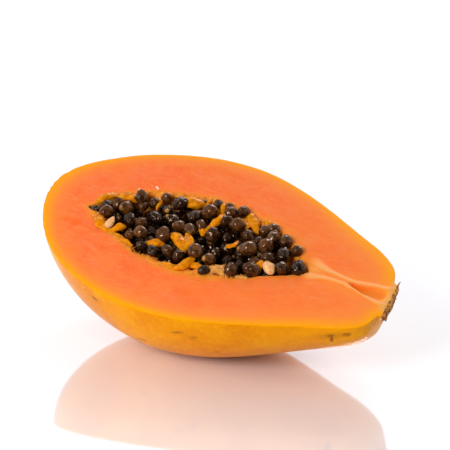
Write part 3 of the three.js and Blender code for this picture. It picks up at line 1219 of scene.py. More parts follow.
    def tag(self, bm: BMesh) -> None:
        """Writes on each point what the flesh's finish follows.

        Args:
            bm: the finished mesh of the half.
        """
        rim, mouth = KDTree(4 * self.stations), KDTree(4 * self.stations)
        for i in range(2 * self.stations):
            for side in (-1, 1):
                share = i / (2 * self.stations - 1)
                rim.insert(self.skin_point(share, side, 0) * FLAT, 0)
                mouth.insert(self.mouth_point(share, side, 0) * FLAT, 0)
        rim.balance()
        mouth.balance()
        layers = bm.verts.layers.float
        tags = {name: layers.new(name) for name in FACE_TAGS}
        cut = {vert for face in bm.faces if face.material_index == 1 for vert in face.verts}
        wall = {vert for face in bm.faces if face.material_index == 2 for vert in face.verts} - cut
        for vert in wall:
            vert[tags["mouth"]] = mouth.find(vert.co)[2]
        wider, *run = self.golden_at_heel
        for vert in cut:
            flat = vert.co * FLAT
            vert[tags["rind"]] = rim.find(flat)[2] / self.rind_width(flat.x)
            golden = self.golden_band + wider * smooth(flat.x, *run) * smooth(flat.y, *self.golden_side)
            vert[tags["mouth"]] = mouth.find(flat)[2] / golden
            vert[tags["vein"]] = self.vein(flat)
            vert[tags["pad"]] = self.pad(flat)
            vert[tags["pocket"]] = self.hollow(flat)

    def dress(self) -> bpy.types.Object:
        """Builds the half and gives it its finishes."""
        finishes = (WaxySkin().material(), WetFlesh().material(), LINING.material())
        return finish_piece(self.build(), "papaya_half", finishes, Slot.FRUIT, ("fruit",))


# ---------------------------------------------------------------- seeds and placenta


@dataclass
class SeedSpot:
    """Where one seed lies and how it is turned."""

    place: Vector
    size: float
    turn: float
    tone: float
    jelly: float


# Seeds that lie on top of the heap, where each one came to rest.
TOP_SEEDS: tuple[SeedRow, ...] = (
    (28.0, -5.0, -1.2, 1.2, 0.0, 0.0),
    (29.5, -5.4, -1.1, 1.6, 0.0, 0.0),
    (31.5, -5.0, -0.9, 2.1, 0.0, 0.0),
    (34.5, 0.0, -0.8, 2.7, 0.1, 0.1),
    (39.0, -6.0, 1.2, 3.3, 0.6, 0.6),
    (40.0, 2.0, 0.6, 2.7, 0.6, 0.6),
    (46.0, -6.5, 0.0, 1.8, 0.2, 0.2),
    (46.5, 0.0, 1.6, 3.3, 0.6, 0.9),
    (49.0, 9.5, 2.2, 3.4, 0.3, 0.5),
    (51.5, 6.5, -0.5, 2.5, 0.5, 0.8),
    (52.0, -5.5, 0.6, 3.4, 0.1, 0.0),
    (55.5, 10.0, 0.4, 2.8, 0.2, 0.2),
    (58.0, -4.5, 0.0, 2.7, 0.6, 0.4),
    (58.0, -15.0, 0.4, 2.5, 0.6, 0.7),
    (59.5, 15.5, 1.4, 2.6, 0.9, 1.0),
    (62.0, 1.5, 0.2, 3.6, 0.0, 0.0),
    (63.0, -12.5, 2.2, 3.1, 0.7, 1.0),
    (64.5, 8.5, 0.2, 2.7, 0.1, 0.2),
    (67.5, -19.0, 0.6, 2.8, 0.0, 0.1),
    (68.0, 15.0, 1.2, 3.5, 0.1, 0.1),
    (71.0, 3.5, 0.2, 3.2, 0.2, 0.1),
    (73.5, -9.0, 1.8, 3.8, 0.5, 0.5),
    (74.5, -20.0, 0.8, 3.1, 0.0, 0.0),
    (77.0, 0.0, 1.6, 3.0, 0.6, 0.7),
    (77.0, 21.5, -0.6, 2.2, 0.2, 0.3),
    (79.5, 9.5, 0.8, 3.5, 0.0, 0.1),
    (80.5, -16.5, 0.8, 2.9, 0.5, 0.4),
    (82.5, 0.0, 1.4, 3.2, 0.6, 0.6),
    (84.5, 15.5, 1.8, 3.5, 0.6, 0.9),
    (84.5, 23.0, 0.6, 2.6, 0.3, 0.4),
    (85.5, 5.5, 0.8, 2.7, 0.6, 0.6),
    (87.0, -17.5, 1.0, 3.0, 0.2, 0.2),
    (90.5, 23.5, 0.2, 2.3, 0.4, 0.6),
    (93.5, -12.5, 2.4, 3.8, 0.5, 0.9),
    (94.0, 19.0, 1.2, 3.4, 0.6, 0.5),
    (94.0, 13.5, 0.8, 3.1, 0.3, 0.3),
    (94.5, 1.5, 1.6, 3.7, 0.2, 0.4),
    (99.5, 22.5, 1.6, 3.1, 0.4, 0.5),
    (101.0, -12.5, 0.2, 3.0, 0.4, 1.0),
    (102.0, 12.0, 2.4, 3.6, 0.6, 0.6),
    (103.0, -20.5, 0.6, 2.6, 0.1, 0.0),
    (109.5, 8.5, 1.2, 3.3, 0.3, 0.3),
    (114.0, -15.0, 1.0, 3.5, 0.5, 0.3),
    (114.5, 15.0, 0.6, 2.8, 0.5, 0.5),
    (115.0, 0.0, 2.2, 3.8, 0.5, 0.8),
    (115.5, 8.0, 0.6, 2.6, 0.2, 0.2),
    (118.0, 18.0, 1.2, 3.0, 0.3, 0.5),
    (120.5, -4.5, -0.4, 2.9, 0.6, 0.4),
    (121.0, 5.0, 2.2, 3.8, 0.6, 0.7),
    (121.0, 12.5, 1.4, 3.3, 0.5, 0.6),
    (122.5, -11.0, 1.2, 3.6, 0.5, 0.3),
    (125.0, -0.5, 0.6, 3.1, 0.2, 0.3),
    (127.5, 13.0, 1.4, 3.4, 0.3, 0.4),
    (130.5, 5.0, 0.4, 3.7, 0.0, 0.1),
    (134.5, -4.0, 1.2, 3.4, 0.2, 0.3),
    (135.0, 9.5, 1.2, 2.8, 0.3, 0.4),
    (141.0, -0.5, 0.8, 3.8, 0.0, 0.0),
)


@dataclass
class SeedMass:
    """Seeds packed in the hollow: the heap that shows, and the ones that it lies on."""

    top: tuple[SeedRow, ...] = TOP_SEEDS
    clear: float = 4.8
    fill_depth: float = 3.1
    radius: float = 3.2
    pitch: float = 7
    jitter: float = 1.6
    tumble: float = 1.3
    random_seed: int = 20117
    layers: int = 4
    layer_step: float = 4.2
    rows: int = 5    # on each side of the middle row
    columns: int = 20
    shift: tuple[float, float] = (3.5, 2)    # of every other layer, along and across
    small: float = 0.9
    size_spread: float = 0.18
    least_room: float = 0.3    # of its size, for a seed below to be there
    # seeds below the top ones and in the gaps among them stay near black and nearly bare of jelly: painted
    # shade in the gaps
    painted_shade_tone: float = 0.15
    painted_shade_jelly: float = 0.05
    turned: float = 6    # at most, in radians
    tilted: float = 0.7
    long: tuple[float, float] = (1.0, 0.16)    # the least, and how much more at most
    blunt: tuple[float, float] = (0.04, 0.32)
    tip_run: tuple[float, float] = (0.86, 0.98)    # how far along a seed its pale tip starts and is full
    tip_blunt: tuple[float, float] = (0.2, 0.32)    # how blunt a seed has to be to show it
    wrinkle: float = 0.32
    fold_sizes: tuple[float, float] = (0.5, 0.24)
    dent: Octave = (0.13, 1.0, 4)
    roundness: float = 0.95
    plump: float = 1.05

    def crowded(self, x: float, y: float) -> bool:
        """Whether a top seed leaves no room for another at this place."""
        return any(math.hypot(x - seed[0], y - seed[1]) < self.clear for seed in self.top)

    def below(self, layer: int) -> list[SeedSpot]:
        """Lays one layer of seeds out in staggered rows, each shaken a little.

        Args:
            layer: 0 for the seeds that fill in among the top ones, then 1 and on for those below.

        Returns:
            The seeds' spots.
        """
        draw = park_miller(self.random_seed + layer)
        row_step = self.pitch * math.sqrt(0.75)
        depth = self.fill_depth + self.layer_step * layer
        found = []
        along, across = (part * (layer % 2) for part in self.shift)
        for row in range(-self.rows, self.rows + 1):
            for column in range(self.columns):
                x = FORM.cavity_start + (column + (0.5 if row % 2 else 0)) * self.pitch
                x += (next(draw) - 0.5) * self.jitter + along
                y = row * row_step + (next(draw) - 0.5) * self.jitter + across
                size = self.radius * (self.small + self.size_spread * next(draw))
                tumble = next(draw)
                middle = FORM.mouth_middle(x)
                side = math.copysign(1, y - middle)
                half = FORM.mouth_half_width(x)
                half = math.sqrt(max(half * half - (depth / FORM.cavity_depth_share) ** 2, 0))
                room = half - FORM.lip(x, side) - abs(y - middle)
                if room > self.least_room * size and not (layer == 0 and self.crowded(x, y)):
                    place = Vector((x, y, (tumble - 0.5) * 2 * self.tumble - depth))
                    # near black and bare: painted shade in the gaps between the top seeds
                    tone, jelly = self.painted_shade_tone * tumble, self.painted_shade_jelly
                    found.append(SeedSpot(place, size, tumble * self.turned, tone, jelly))
        return found

    def shown(self) -> list[SeedSpot]:
        """The top seeds' spots, each turned its own way.

        Returns:
            The spots.
        """
        draw = park_miller(self.random_seed)
        return [SeedSpot(Vector(place), self.plump * size, self.turned * next(draw), tone, jelly)
                for *place, size, tone, jelly in self.top]

    def blank(self) -> BMesh:
        """An empty mesh that holds what the seeds' finish follows.

        Returns:
            The mesh.
        """
        bm = bmesh.new()
        for name in SEED_TAGS:
            bm.verts.layers.float.new(name)
        return bm

    def seed(self, spot: SeedSpot, facets: int) -> BMesh:
        """Shapes one seed: an egg, wrinkled where its jelly is thin, with a blunt pale tip.

        Args:
            spot: where it lies.
            facets: how finely it is divided.

        Returns:
            The mesh.
        """
        bm = self.blank()
        layers = bm.verts.layers.float
        turn = Matrix.Rotation(spot.turn, 3, "Z")
        turn @= Matrix.Rotation(self.tilted * math.sin(7 * spot.turn), 3, "Y")
        blunt, long = (least + more * (spot.turn * times % 1)
                       for (least, more), times in ((self.blunt, 5), (self.long, 11)))
        broad, fine = self.fold_sizes
        bmesh.ops.create_icosphere(bm, subdivisions=facets, radius=1)
        for vert in bm.verts:
            out = vert.co.copy()
            own = out + Vector((spot.turn * 3, 0, 0))
            fold = abs(rough(own, broad)) + 0.5 * abs(rough(own, fine, 2))
            form = 1 - self.wrinkle * (1.1 - spot.jelly) * fold + layered(own, (self.dent,))
            point = blunt * max(out.x, 0) ** 4
            vert[layers["tip"]] = smooth(out.x, *self.tip_run) * smooth(blunt, *self.tip_blunt)
            # the seed's tone, lighter toward its top and darker toward its bottom: painted light and painted
            # shade
            vert[layers["tone"]] = spot.tone * (0.7 + 0.3 * out.z)
            vert[layers["jelly"]] = spot.jelly
            slim = self.roundness * form
            local = Vector((long * (form + point) * out.x, slim * out.y, slim * out.z))
            vert.co = spot.place + turn @ (local * spot.size)
        return bm

    def heap(self, spots: Sequence[tuple[SeedSpot, int]]) -> BMesh:
        """Fills one mesh with seeds.

        Args:
            spots: each seed's spot and how finely it is divided.

        Returns:
            The mesh.
        """
        bm = self.blank()
        for spot, facets in spots:
            absorb(bm, self.seed(spot, facets))
        return bm

    def dress(self) -> list[bpy.types.Object]:
        """Builds the seeds and gives them their finish.

        Returns:
            The heap that shows and the one below it.
        """
        finish = SeedCoat().material()
        top = [(spot, 4) for spot in self.shown() + self.below(0)]
        under = []
        for layer in range(1, self.layers):
            under += [(spot, 3 if layer == 1 else 2) for spot in self.below(layer)]
        return [
            finish_piece(self.heap(top), "papaya_seeds", [finish], Slot.SEEDS, ("seeds",)),
            finish_piece(self.heap(under), "papaya_seeds_below", [finish], Slot.SEEDS),
        ]


@dataclass
class Placenta:
    """Soft amber tags on the mouth of the hollow, strands among the seeds, and white seeds."""

    tags: tuple[Strip, ...] = (
        ((28.6, -1.4, -0.6, 1.0), (29.6, 0.6, -0.1, 1.8), (30.8, 3.4, 0.1, 2.2), (32.6, 6.6, -0.2, 2.0),
         (35.0, 9.2, -0.8, 1.3)),
        ((36.0, 8.6, -1.2, 1.6), (39.4, 9.2, -0.7, 2.4), (42.6, 9.8, -0.6, 2.6), (45.6, 10.6, -1.2, 1.8)),
        ((55.4, 11.6, 0.0, 1.2), (56.2, 13.4, 0.5, 2.0), (57.4, 11.6, 0.7, 1.9), (58.2, 9.6, 0.3, 1.2),
         (58.2, 7.8, -0.8, 0.6)),
        ((57.0, 15.6, 0.0, 1.6), (56.4, 13.6, 0.5, 1.8)),
        ((33.4, -8.6, -0.4, 1.3), (36.4, -10.6, 0.3, 2.5), (39.4, -13.0, 0.5, 2.8), (42.2, -15.2, 0.2, 2.0),
         (45.6, -16.0, 0.0, 1.4), (49.0, -16.6, -0.4, 1.0)),
        ((48.6, -14.2, -0.2, 1.5), (50.0, -12.2, 0.5, 2.0), (51.6, -11.0, -0.2, 1.5)),
        ((49.5, -16.6, -0.8, 1.0), (53.5, -17.4, -0.5, 1.3), (57.6, -18.6, -0.6, 1.4),
         (62.0, -19.8, -0.8, 1.1)),
        ((70.0, 19.4, -0.2, 2.2), (72.4, 18.6, 0.5, 2.9), (75.0, 18.8, 0.5, 2.9), (77.0, 20.4, -0.4, 1.8)),
        ((78.4, 26.4, -0.4, 0.9), (79.2, 23.8, 0.3, 1.2), (79.9, 20.8, 0.4, 0.9)),
        ((86.2, 25.4, -0.2, 1.2), (87.6, 22.4, 0.5, 1.6), (89.0, 19.6, 0.0, 1.0)),
        ((85.2, 5.6, -0.8, 1.2), (87.2, 3.8, 0.2, 1.6), (88.6, 1.6, -0.6, 1.2)),
        ((94.0, -14.8, 0.8, 1.1), (93.8, -17.2, 1.2, 1.9), (93.4, -20.0, 1.2, 2.2), (92.4, -22.6, 0.8, 2.1),
         (90.4, -25.0, 0.0, 1.2)),
        ((82.0, -23.6, -0.6, 0.8), (85.8, -24.0, -0.4, 1.3), (89.6, -24.0, -0.4, 1.5)),
        ((95.2, -19.4, -0.6, 1.2), (97.8, -18.8, 0.0, 1.8), (100.6, -18.2, -0.6, 1.2)),
        ((104.4, 15.6, 1.2, 1.4), (105.4, 14.0, 0.9, 1.4)),
        ((101.8, 23.4, -0.4, 1.6), (104.4, 21.0, 0.5, 2.4), (107.6, 18.0, 0.6, 2.4),
         (110.8, 14.8, -0.4, 1.5)),
        ((109.0, 22.6, -0.8, 1.2), (112.6, 22.0, -0.2, 1.6), (116.2, 22.6, -0.6, 1.2)),
        ((124.6, -9.4, -0.2, 1.2), (124.2, -7.0, 0.9, 1.8), (124.0, -4.6, 1.0, 1.6), (125.2, -3.0, 0.0, 1.0)),
    )
    tufts: tuple[Strip, ...] = (
        ((101.2, -18.9, -0.8, 1.0), (104.2, -18.2, -0.2, 1.7), (107.4, -17.0, -0.1, 2.2),
         (110.8, -16.6, -0.3, 2.1), (114.0, -16.8, -0.8, 1.4)),
        ((106.0, -14.6, -0.6, 1.2), (109.4, -13.8, -0.2, 1.5), (112.4, -14.4, -0.6, 1.2)),
        ((117.6, -16.2, -0.6, 0.8), (120.4, -15.9, -0.3, 1.1), (123.2, -15.4, -0.6, 0.8)),
    )
    strands: tuple[tuple[Strip, ...], ...] = (
        (
            ((77.4, -6.4, 1.2, 1.4), (79.4, -7.2, 1.9, 2.3), (81.8, -8.6, 2.1, 2.6), (84.2, -10.4, 2.0, 2.4),
             (86.6, -12.4, 1.6, 1.8), (88.4, -14.2, 0.7, 0.9)),
            ((82.6, -2.4, 1.2, 1.1), (84.6, -4.4, 1.8, 1.6), (86.6, -6.6, 2.0, 1.9), (87.8, -9.0, 2.0, 1.9),
             (87.8, -11.6, 1.6, 1.5)),
        ),
        (((68.4, -16.4, 0.0, 1.2), (70.6, -15.4, 0.7, 1.9), (73.0, -14.4, 0.8, 2.2),
          (75.2, -13.4, 0.0, 1.5)),),
        (((92.8, 16.2, 1.4, 1.4), (92.2, 13.6, 2.0, 2.1), (91.6, 10.8, 1.9, 2.1), (90.8, 7.6, 1.3, 1.8),
          (89.4, 5.0, 0.3, 1.3), (88.0, 3.0, -0.8, 0.9)),),
        (((104.2, -2.4, 0.6, 0.7), (105.6, -1.8, 1.4, 1.2), (107.0, -0.4, 1.5, 1.2), (107.2, 2.0, 1.2, 0.8),
          (106.6, 4.0, 0.4, 0.5)),),
    )
    pale_seeds: tuple[Strip, ...] = (
        ((44.4, -9.0, 1.3, 1.1), (44.8, -10.8, 1.5, 1.5), (45.0, -12.8, 1.3, 1.9), (45.0, -14.2, 0.7, 1.6)),
        ((127.4, -5.0, 1.2, 2.2), (129.0, -6.2, 1.5, 2.7), (130.2, -7.6, 1.0, 2.2)),
    )
    # small lumps on the cut, white all over as painted highlights for wet glints
    crumbs: tuple[Strip, ...] = (
        ((49.6, 21.6, 0.2, 0.55), (51.2, 20.6, 0.25, 0.5)),
        ((46.6, 21.8, 0.15, 0.3), (47.2, 21.4, 0.15, 0.25)),
        ((42.0, 16.9, 0.15, 0.35), (42.9, 16.0, 0.15, 0.3)),
        ((47.6, 17.6, 0.1, 0.25), (48.2, 17.4, 0.1, 0.25)),
        ((64.1, -35.8, 0.0, 0.16), (67.7, -34.9, 0.0, 0.16)),
    )
    plump: float = 1.12    # makes up for what smoothing takes off
    flat: float = 0.7
    step: float = 0.5
    torn: float = 0.7
    crumb_torn: float = 0.1
    torn_size: float = 3.2
    frayed: float = 0.25    # how much of the tearing is finer, and how much finer
    frayed_by: float = 2.6
    pulls: tuple[float, float, float] = (3.1, 17.3, 41.9)    # one place in the noise for each axis
    voxel: float = 0.28
    smoothing: int = 3

    def strip(self, strip: Strip) -> BMesh:
        """Lays overlapping flattened balls along a strip of tissue.

        Args:
            strip: where the strip passes.

        Returns:
            The mesh.
        """
        bm = bmesh.new()
        for (*start, wide), (*end, slim) in zip(strip, strip[1:]):
            gap = Vector(end) - Vector(start)
            count = max(2, math.ceil(gap.length / (self.step * min(wide, slim))))
            for i in range(count + 1):
                radius = self.plump * (wide + (slim - wide) * i / count)
                place = Matrix.Translation(Vector(start) + gap * i / count)
                place @= Matrix.Diagonal((1, 1, self.flat, 1))
                bmesh.ops.create_icosphere(bm, subdivisions=2, radius=radius, matrix=place)
        return bm

    def pull(self, point: Vector, size: float) -> Vector:
        """The way that the tissue is pulled about at a point, in lumps of this size."""
        return Vector([rough(point, size, start) for start in self.pulls])

    def fused(self, strips: Sequence[Strip], torn: float) -> BMesh:
        """Joins strips into one soft skin and tears it a little.

        Args:
            strips: the strips.
            torn: how far the skin is pulled about, in millimetres.

        Returns:
            The mesh.
        """
        bm = bmesh.new()
        for strip in strips:
            absorb(bm, self.strip(strip))
        rest = bpy.data.meshes.new("strips")
        bm.to_mesh(rest)
        bm.free()
        body = bpy.data.objects.new("strips", rest)
        bpy.context.scene.collection.objects.link(body)
        remesh = body.modifiers.new("one_skin", "REMESH")
        remesh.mode = "VOXEL"
        remesh.voxel_size = self.voxel
        skin = bpy.data.meshes.new_from_object(body.evaluated_get(bpy.context.evaluated_depsgraph_get()))
        whole = bmesh.new()
        whole.from_mesh(skin)
        for vert in whole.verts:
            fine = self.frayed * self.pull(vert.co, self.torn_size / self.frayed_by)
            vert.co += torn * (self.pull(vert.co, self.torn_size) + fine)
        for _ in range(self.smoothing):
            bmesh.ops.smooth_vert(whole, verts=whole.verts, factor=0.5, use_axis_x=True, use_axis_y=True,
                                  use_axis_z=True)
        bpy.data.objects.remove(body)
        bpy.data.meshes.remove(rest)
        bpy.data.meshes.remove(skin)
        return whole

    def dress(self) -> list[bpy.types.Object]:
        """Builds the tissue and gives it its finishes.

        Returns:
            The pieces.
        """
        amber, cream, white = AMBER.material(), CREAM.material(), GLINT_WHITE_CRUMB.material()
        made = [
            finish_piece(self.fused(self.tags, self.torn), "placenta_tags", [amber], Slot.PULP, ("fruit",)),
            finish_piece(self.fused(self.tufts, self.torn), "straw_tufts", [STRAW.material()], Slot.PULP),
            # crumbs white all over: painted highlights for their wet glints
            finish_piece(self.fused(self.crumbs, self.crumb_torn), "pulp_crumbs", [white], Slot.PULP),
        ]
        for i, strips in enumerate(self.strands, 1):
            mesh = self.fused(strips, self.torn)
            made.append(finish_piece(mesh, f"placenta_strand_{i}", [amber], Slot.PULP, (f"pulp_strand_{i}",)))
        for i, strip in enumerate(self.pale_seeds, 1):
            mesh = self.fused((strip,), 0.5 * self.torn)
            made.append(finish_piece(mesh, f"white_seed_{i}", [cream], Slot.PALE, (f"pale_seed_{i}",)))
        return made


@dataclass
class MouthFibres:
    """Short torn fibres of placenta that stand round the mouth of the hollow."""

    count: int = 420
    sides: int = 5
    joints: int = 5
    length: tuple[float, float] = (0.8, 2.4)
    thickness: tuple[float, float] = (0.1, 0.24)
    high_share: float = 0.45    # of the fibres, on the +Y side
    high_run: tuple[float, float] = (30, 136)
    torn_share: float = 0.5    # of those on the other side, where it is most torn
    torn_run: tuple[float, float] = (98, 122)
    low_run: tuple[float, float] = (34, 100)
    outset: float = 0.4
    inset: tuple[float, float] = (0, 0.9)    # in over the lip, as a share of it
    sunk: tuple[float, float] = (-0.5, 0.0)
    # The least and the most of each part: along the fruit, across it (inward, for the lean) and up.
    lean: tuple[tuple[float, float], ...] = ((-0.9, 0.9), (-0.4, 1.0), (0.0, 0.3))
    curl: tuple[tuple[float, float], ...] = ((-0.8, 0.8), (-0.4, 0.4), (-0.4, 0.1))
    end_share: float = 0.05    # how thick a fibre's end is
    random_seed: int = 4711

    def fibre(self, root: Vector, way: Vector, curl: Vector, radius: float) -> BMesh:
        """Draws one tapered fibre out from its root.

        Args:
            root: where it starts.
            way: from its root to where it would end if it were straight.
            curl: how far its end is pulled to one side.
            radius: its radius at the root.

        Returns:
            The mesh.
        """
        bm = bmesh.new()
        turn = way.to_track_quat("Z", "Y").to_matrix().to_4x4()
        place = Matrix.Translation(root) @ turn
        made = bmesh.ops.create_circle(bm, cap_ends=True, segments=self.sides, radius=radius, matrix=place)
        ring = list(dict.fromkeys(edge for vert in made["verts"] for edge in vert.link_edges))
        middle = root
        for joint in range(1, self.joints + 1):
            share = joint / self.joints
            made = bmesh.ops.extrude_edge_only(bm, edges=ring)["geom"]
            verts = [part for part in made if isinstance(part, BMVert)]
            ring = [part for part in made if isinstance(part, BMEdge) and part.is_boundary]
            place = root + way * share + curl * share * share
            bmesh.ops.translate(bm, verts=verts, vec=place - middle)
            left = 1 + self.end_share - share
            thin = left / (left + 1 / self.joints)
            bmesh.ops.scale(bm, verts=verts, vec=(thin, thin, thin), space=Matrix.Translation(-place))
            middle = place
        bmesh.ops.pointmerge(bm, verts=verts, merge_co=middle)
        bmesh.ops.recalc_face_normals(bm, faces=bm.faces)
        return bm

    def build(self) -> BMesh:
        """Roots the fibres along both sides of the mouth, thickest where it is most torn.

        Returns:
            The mesh.
        """
        bm = bmesh.new()
        draw = park_miller(self.random_seed)

        def within(low: float, high: float) -> float:
            """The next draw, spread between two values."""
            return low + (high - low) * next(draw)

        for _ in range(self.count):
            side = 1 if next(draw) < self.high_share else -1
            x = within(*self.high_run)
            if side < 0:
                x = within(*(self.torn_run if next(draw) < self.torn_share else self.low_run))
            middle, half, lip = FORM.mouth_middle(x), FORM.mouth_half_width(x), FORM.lip(x, side)
            out = half + self.outset - within(*self.inset) * lip
            root = Vector((x, middle + side * out, within(*self.sunk)))
            along, inward, up = (within(*span) for span in self.lean)
            way = Vector((along, -side * inward, up)).normalized()
            curl = Vector([within(*span) for span in self.curl])
            absorb(bm, self.fibre(root, way * within(*self.length), curl, within(*self.thickness)))
        return bm

    def dress(self) -> bpy.types.Object:
        """Builds the fibres and gives them their finish."""
        return finish_piece(self.build(), "placenta_fibres", [FIBRE.material()], Slot.PULP)


@dataclass
class StemCrust:
    """Ragged cork that closed the stem end where the stem broke away."""

    radius: float = 11.2
    thickness: float = 1.0
    start_x: float = 186.0
    ragged: float = 0.8
    edge_ragged: float = 0.3
    edge_tears: tuple[Octave, ...] = ((1, 0.22, 3), (0.5, 0.09, 3))
    pits: tuple[Octave, ...] = ((1, 2.6, 0), (0.6, 1.1, 5), (0.3, 0.5, 9))
    sunk: float = 0.25
    taller: float = 0.03    # than the pad, as a share
    spread: float = 0.55    # powers that square the ball off, across and along
    squared: float = 0.5
    inner_tears: float = 0.2    # how far the edge lies within its radius, before it is torn
    tear_power: int = 6    # keeps the tears near the edge
    outer_side: tuple[float, float] = (-0.3, 0.6)
    below_face: float = 0.05
    sides: int = 160
    rows: int = 90

    def build(self) -> BMesh:
        """Shapes the half disc: a flattened ball, cut at the face and torn.

        Returns:
            The mesh.
        """
        bm = bmesh.new()
        bmesh.ops.create_uvsphere(bm, u_segments=self.sides, v_segments=self.rows, radius=1)
        bmesh.ops.rotate(bm, verts=bm.verts, matrix=Matrix.Rotation(math.pi / 2, 3, "Y"))
        for vert in bm.verts:
            out = vert.co.copy()
            reach = math.hypot(out.y, out.z)
            wide = self.radius * min(reach, 1) ** self.spread
            turn = (out.y / max(reach, 1e-6), out.z / max(reach, 1e-6))
            spoke = Vector((turn[0], turn[1], 0))
            torn = self.edge_ragged * (layered(spoke, self.edge_tears) - self.inner_tears)
            wide *= 1 + torn * reach ** self.tear_power
            thick = math.copysign(abs(out.x) ** self.squared, out.x)
            vert.co = Vector((0, wide * turn[0], wide * turn[1] * (FORM.pad_depth_share + self.taller)))
            pits = layered(vert.co, self.pits)
            outer = smooth(thick, *self.outer_side)
            vert.co.x = self.start_x + self.thickness / 2 * (1 + thick)
            vert.co.x += self.ragged * pits * outer - self.sunk * outer
            FORM.skew_end(vert.co)
        parts = bm.verts[:] + bm.edges[:] + bm.faces[:]
        cut = bmesh.ops.bisect_plane(bm, geom=parts, dist=1e-4, plane_co=(0, 0, -self.below_face),
                                     plane_no=(0, 0, 1), clear_outer=True)["geom_cut"]
        edges = [part for part in cut if isinstance(part, BMEdge)]
        cap = bmesh.ops.edgeloop_fill(bm, edges=edges)["faces"]
        bmesh.ops.triangulate(bm, faces=cap)
        bmesh.ops.recalc_face_normals(bm, faces=bm.faces)
        return bm

    def dress(self) -> bpy.types.Object:
        """Builds the crust and gives it its finish."""
        return finish_piece(self.build(), "stem_crust", [Cork().material()], Slot.CRUST, ("stem_scar",))


# ---------------------------------------------------------------- studio


@dataclass(frozen=True)
class SoftBox:
    """A white softbox that faces the fruit; its turn is from the camera's azimuth, in degrees."""

    name: str
    turn: float
    rise: float
    distance: float
    width: float
    height: float
    power: float


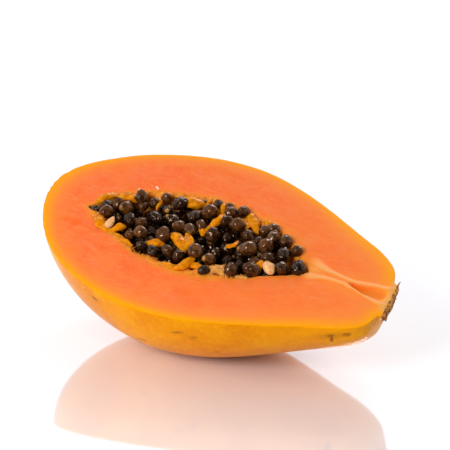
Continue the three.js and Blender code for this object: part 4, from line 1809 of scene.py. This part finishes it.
@dataclass
class Studio:
    """Pale glossy table in a white tent, two softboxes and the camera."""

    azimuth: float = 30.0
    elevation: float = 19.0
    distance: float = 0.585
    target: tuple[float, float, float] = (0.0112, 0.0027, 0.0601)
    lens: float = 100.0
    sensor: float = 36.0
    table_size: float = 12.0
    table_drop: float = 0.02 * MM
    table_white: str = "f8f6fb"
    table_cast: str = "f0ffff"
    table_glow: float = 0.1
    # how far the painted shadow under the fruit reaches
    painted_shadow_reach: tuple[float, float, float] = (0.085, 0.034, 1)    # of the fruit's shade, in metres
    dim: float = 0.06    # the tent's strength on the camera's side
    dim_to: tuple[float, float] = (-0.75, -0.1)    # the lean away from the camera where it ends
    bright: float = 1.1    # and of its other walls
    overhead: float = 0.55    # and of its roof
    roof: tuple[float, float] = (0.8, 0.45)    # the rise where the roof turns into the walls
    lamps: tuple[SoftBox, ...] = (
        SoftBox("key", -36, 28, 0.8, 0.24, 0.32, 4.4),
        SoftBox("back", 160, 42, 0.9, 0.4, 0.2, 1.8),
    )

    def back(self, azimuth: float, elevation: float) -> Vector:
        """The way from the target toward an azimuth and elevation, in degrees."""
        turn, rise = math.radians(azimuth), math.radians(elevation)
        return Vector((math.sin(turn) * math.cos(rise), -math.cos(turn) * math.cos(rise), math.sin(rise)))

    def camera(self) -> None:
        """Stands the camera and makes it the scene's."""
        lens = bpy.data.cameras.new("camera")
        lens.lens, lens.sensor_width = self.lens, self.sensor
        lens.clip_start, lens.clip_end = 0.01, 50
        camera = bpy.data.objects.new("camera", lens)
        away = self.back(self.azimuth, self.elevation)
        camera.location = Vector(self.target) + away * self.distance
        camera.rotation_euler = away.to_track_quat("Z", "Y").to_euler()
        bpy.context.scene.collection.objects.link(camera)
        bpy.context.scene.camera = camera

    def table(self) -> None:
        """Lays the table: smooth white acrylic, a mirror that glows but for a painted shadow under the fruit.
        """
        bm = bmesh.new()
        bmesh.ops.create_grid(bm, x_segments=1, y_segments=1, size=self.table_size / 2)
        bmesh.ops.translate(bm, verts=bm.verts, vec=(0, 0, -self.table_drop))
        mesh = bpy.data.meshes.new("table")
        bm.to_mesh(mesh)
        bm.free()
        finish, tree, shader, place = start_finish(
            "white_acrylic", Base_Color=linear(self.table_white), Metallic=0.42, Roughness=0.06,
            Emission_Color=linear(self.table_cast))
        # the table's glow fades to nothing round the fruit: painted shadow
        links = {"Vector": place, "Scale": self.painted_shadow_reach}
        shadow_space = node(tree, "Mapping", links, vector_type="TEXTURE").outputs[0]
        near = node(tree, "TexGradient", {0: shadow_space}, gradient_type="SPHERICAL").outputs[1]
        glow = node(tree, "MapRange", {0: near, 1: 0.0, 2: 0.65, 3: self.table_glow, 4: 0.0}).outputs[0]
        tree.links.new(glow, shader.inputs["Emission Strength"])
        mesh.materials.append(finish)
        table = bpy.data.objects.new("table", mesh)
        bpy.context.scene.collection.objects.link(table)

    def surroundings(self) -> None:
        """Lights the set from a white tent, brightest at its walls and dim on the camera's side."""
        world = bpy.data.worlds.new("white_tent")
        bpy.context.scene.world = world
        world.use_nodes = True
        tree = world.node_tree
        tree.nodes.clear()
        toward = node(tree, "TexCoord").outputs["Generated"]
        behind = self.back(self.azimuth + 180, 0)
        lean, rise = [node(tree, "VectorMath", {0: toward, 1: way}, operation="DOT_PRODUCT").outputs["Value"]
                      for way in (behind, (0, 0, 1))]
        start, end = self.dim_to
        away = node(tree, "MapRange", {0: lean, 1: start, 2: end, 3: 0.0, 4: 1.0}).outputs[0]
        start, end = self.roof
        links = {0: rise, 1: start, 2: end, 3: self.overhead, 4: self.bright}
        walls = node(tree, "MapRange", links).outputs[0]
        light = node(tree, "MapRange", {0: away, 3: self.dim, 4: walls}).outputs[0]
        seen = node(tree, "LightPath").outputs["Is Camera Ray"]
        level = node(tree, "Mix", {0: seen, 2: light, 3: 1.0}).outputs[0]
        white = node(tree, "Background", {"Color": linear("ffffff"), "Strength": level})
        node(tree, "OutputWorld", {0: white.outputs[0]})

    def hang(self, box: SoftBox) -> None:
        """Hangs one softbox, out of the camera's sight.

        Args:
            box: the softbox.
        """
        lamp = bpy.data.lights.new(box.name, "AREA")
        lamp.shape = "RECTANGLE"
        lamp.size, lamp.size_y, lamp.energy = box.width, box.height, box.power
        light = bpy.data.objects.new(box.name, lamp)
        way = self.back(self.azimuth + box.turn, box.rise)
        light.location = Vector(self.target) + way * box.distance
        light.rotation_euler = way.to_track_quat("Z", "Y").to_euler()
        light.visible_camera = False
        bpy.context.scene.collection.objects.link(light)

    def build(self) -> None:
        """Sets up the studio."""
        bpy.context.scene.view_settings.view_transform = "Standard"
        self.camera()
        self.table()
        self.surroundings()
        for box in self.lamps:
            self.hang(box)


def main() -> None:
    """Builds the studio and the dressed fruit."""
    logging.basicConfig(level=logging.INFO, format="%(name)s: %(message)s")
    Studio().build()
    PapayaHalf().dress()
    SeedMass().dress()
    Placenta().dress()
    MouthFibres().dress()
    StemCrust().dress()


if __name__ == "__main__":
    main()
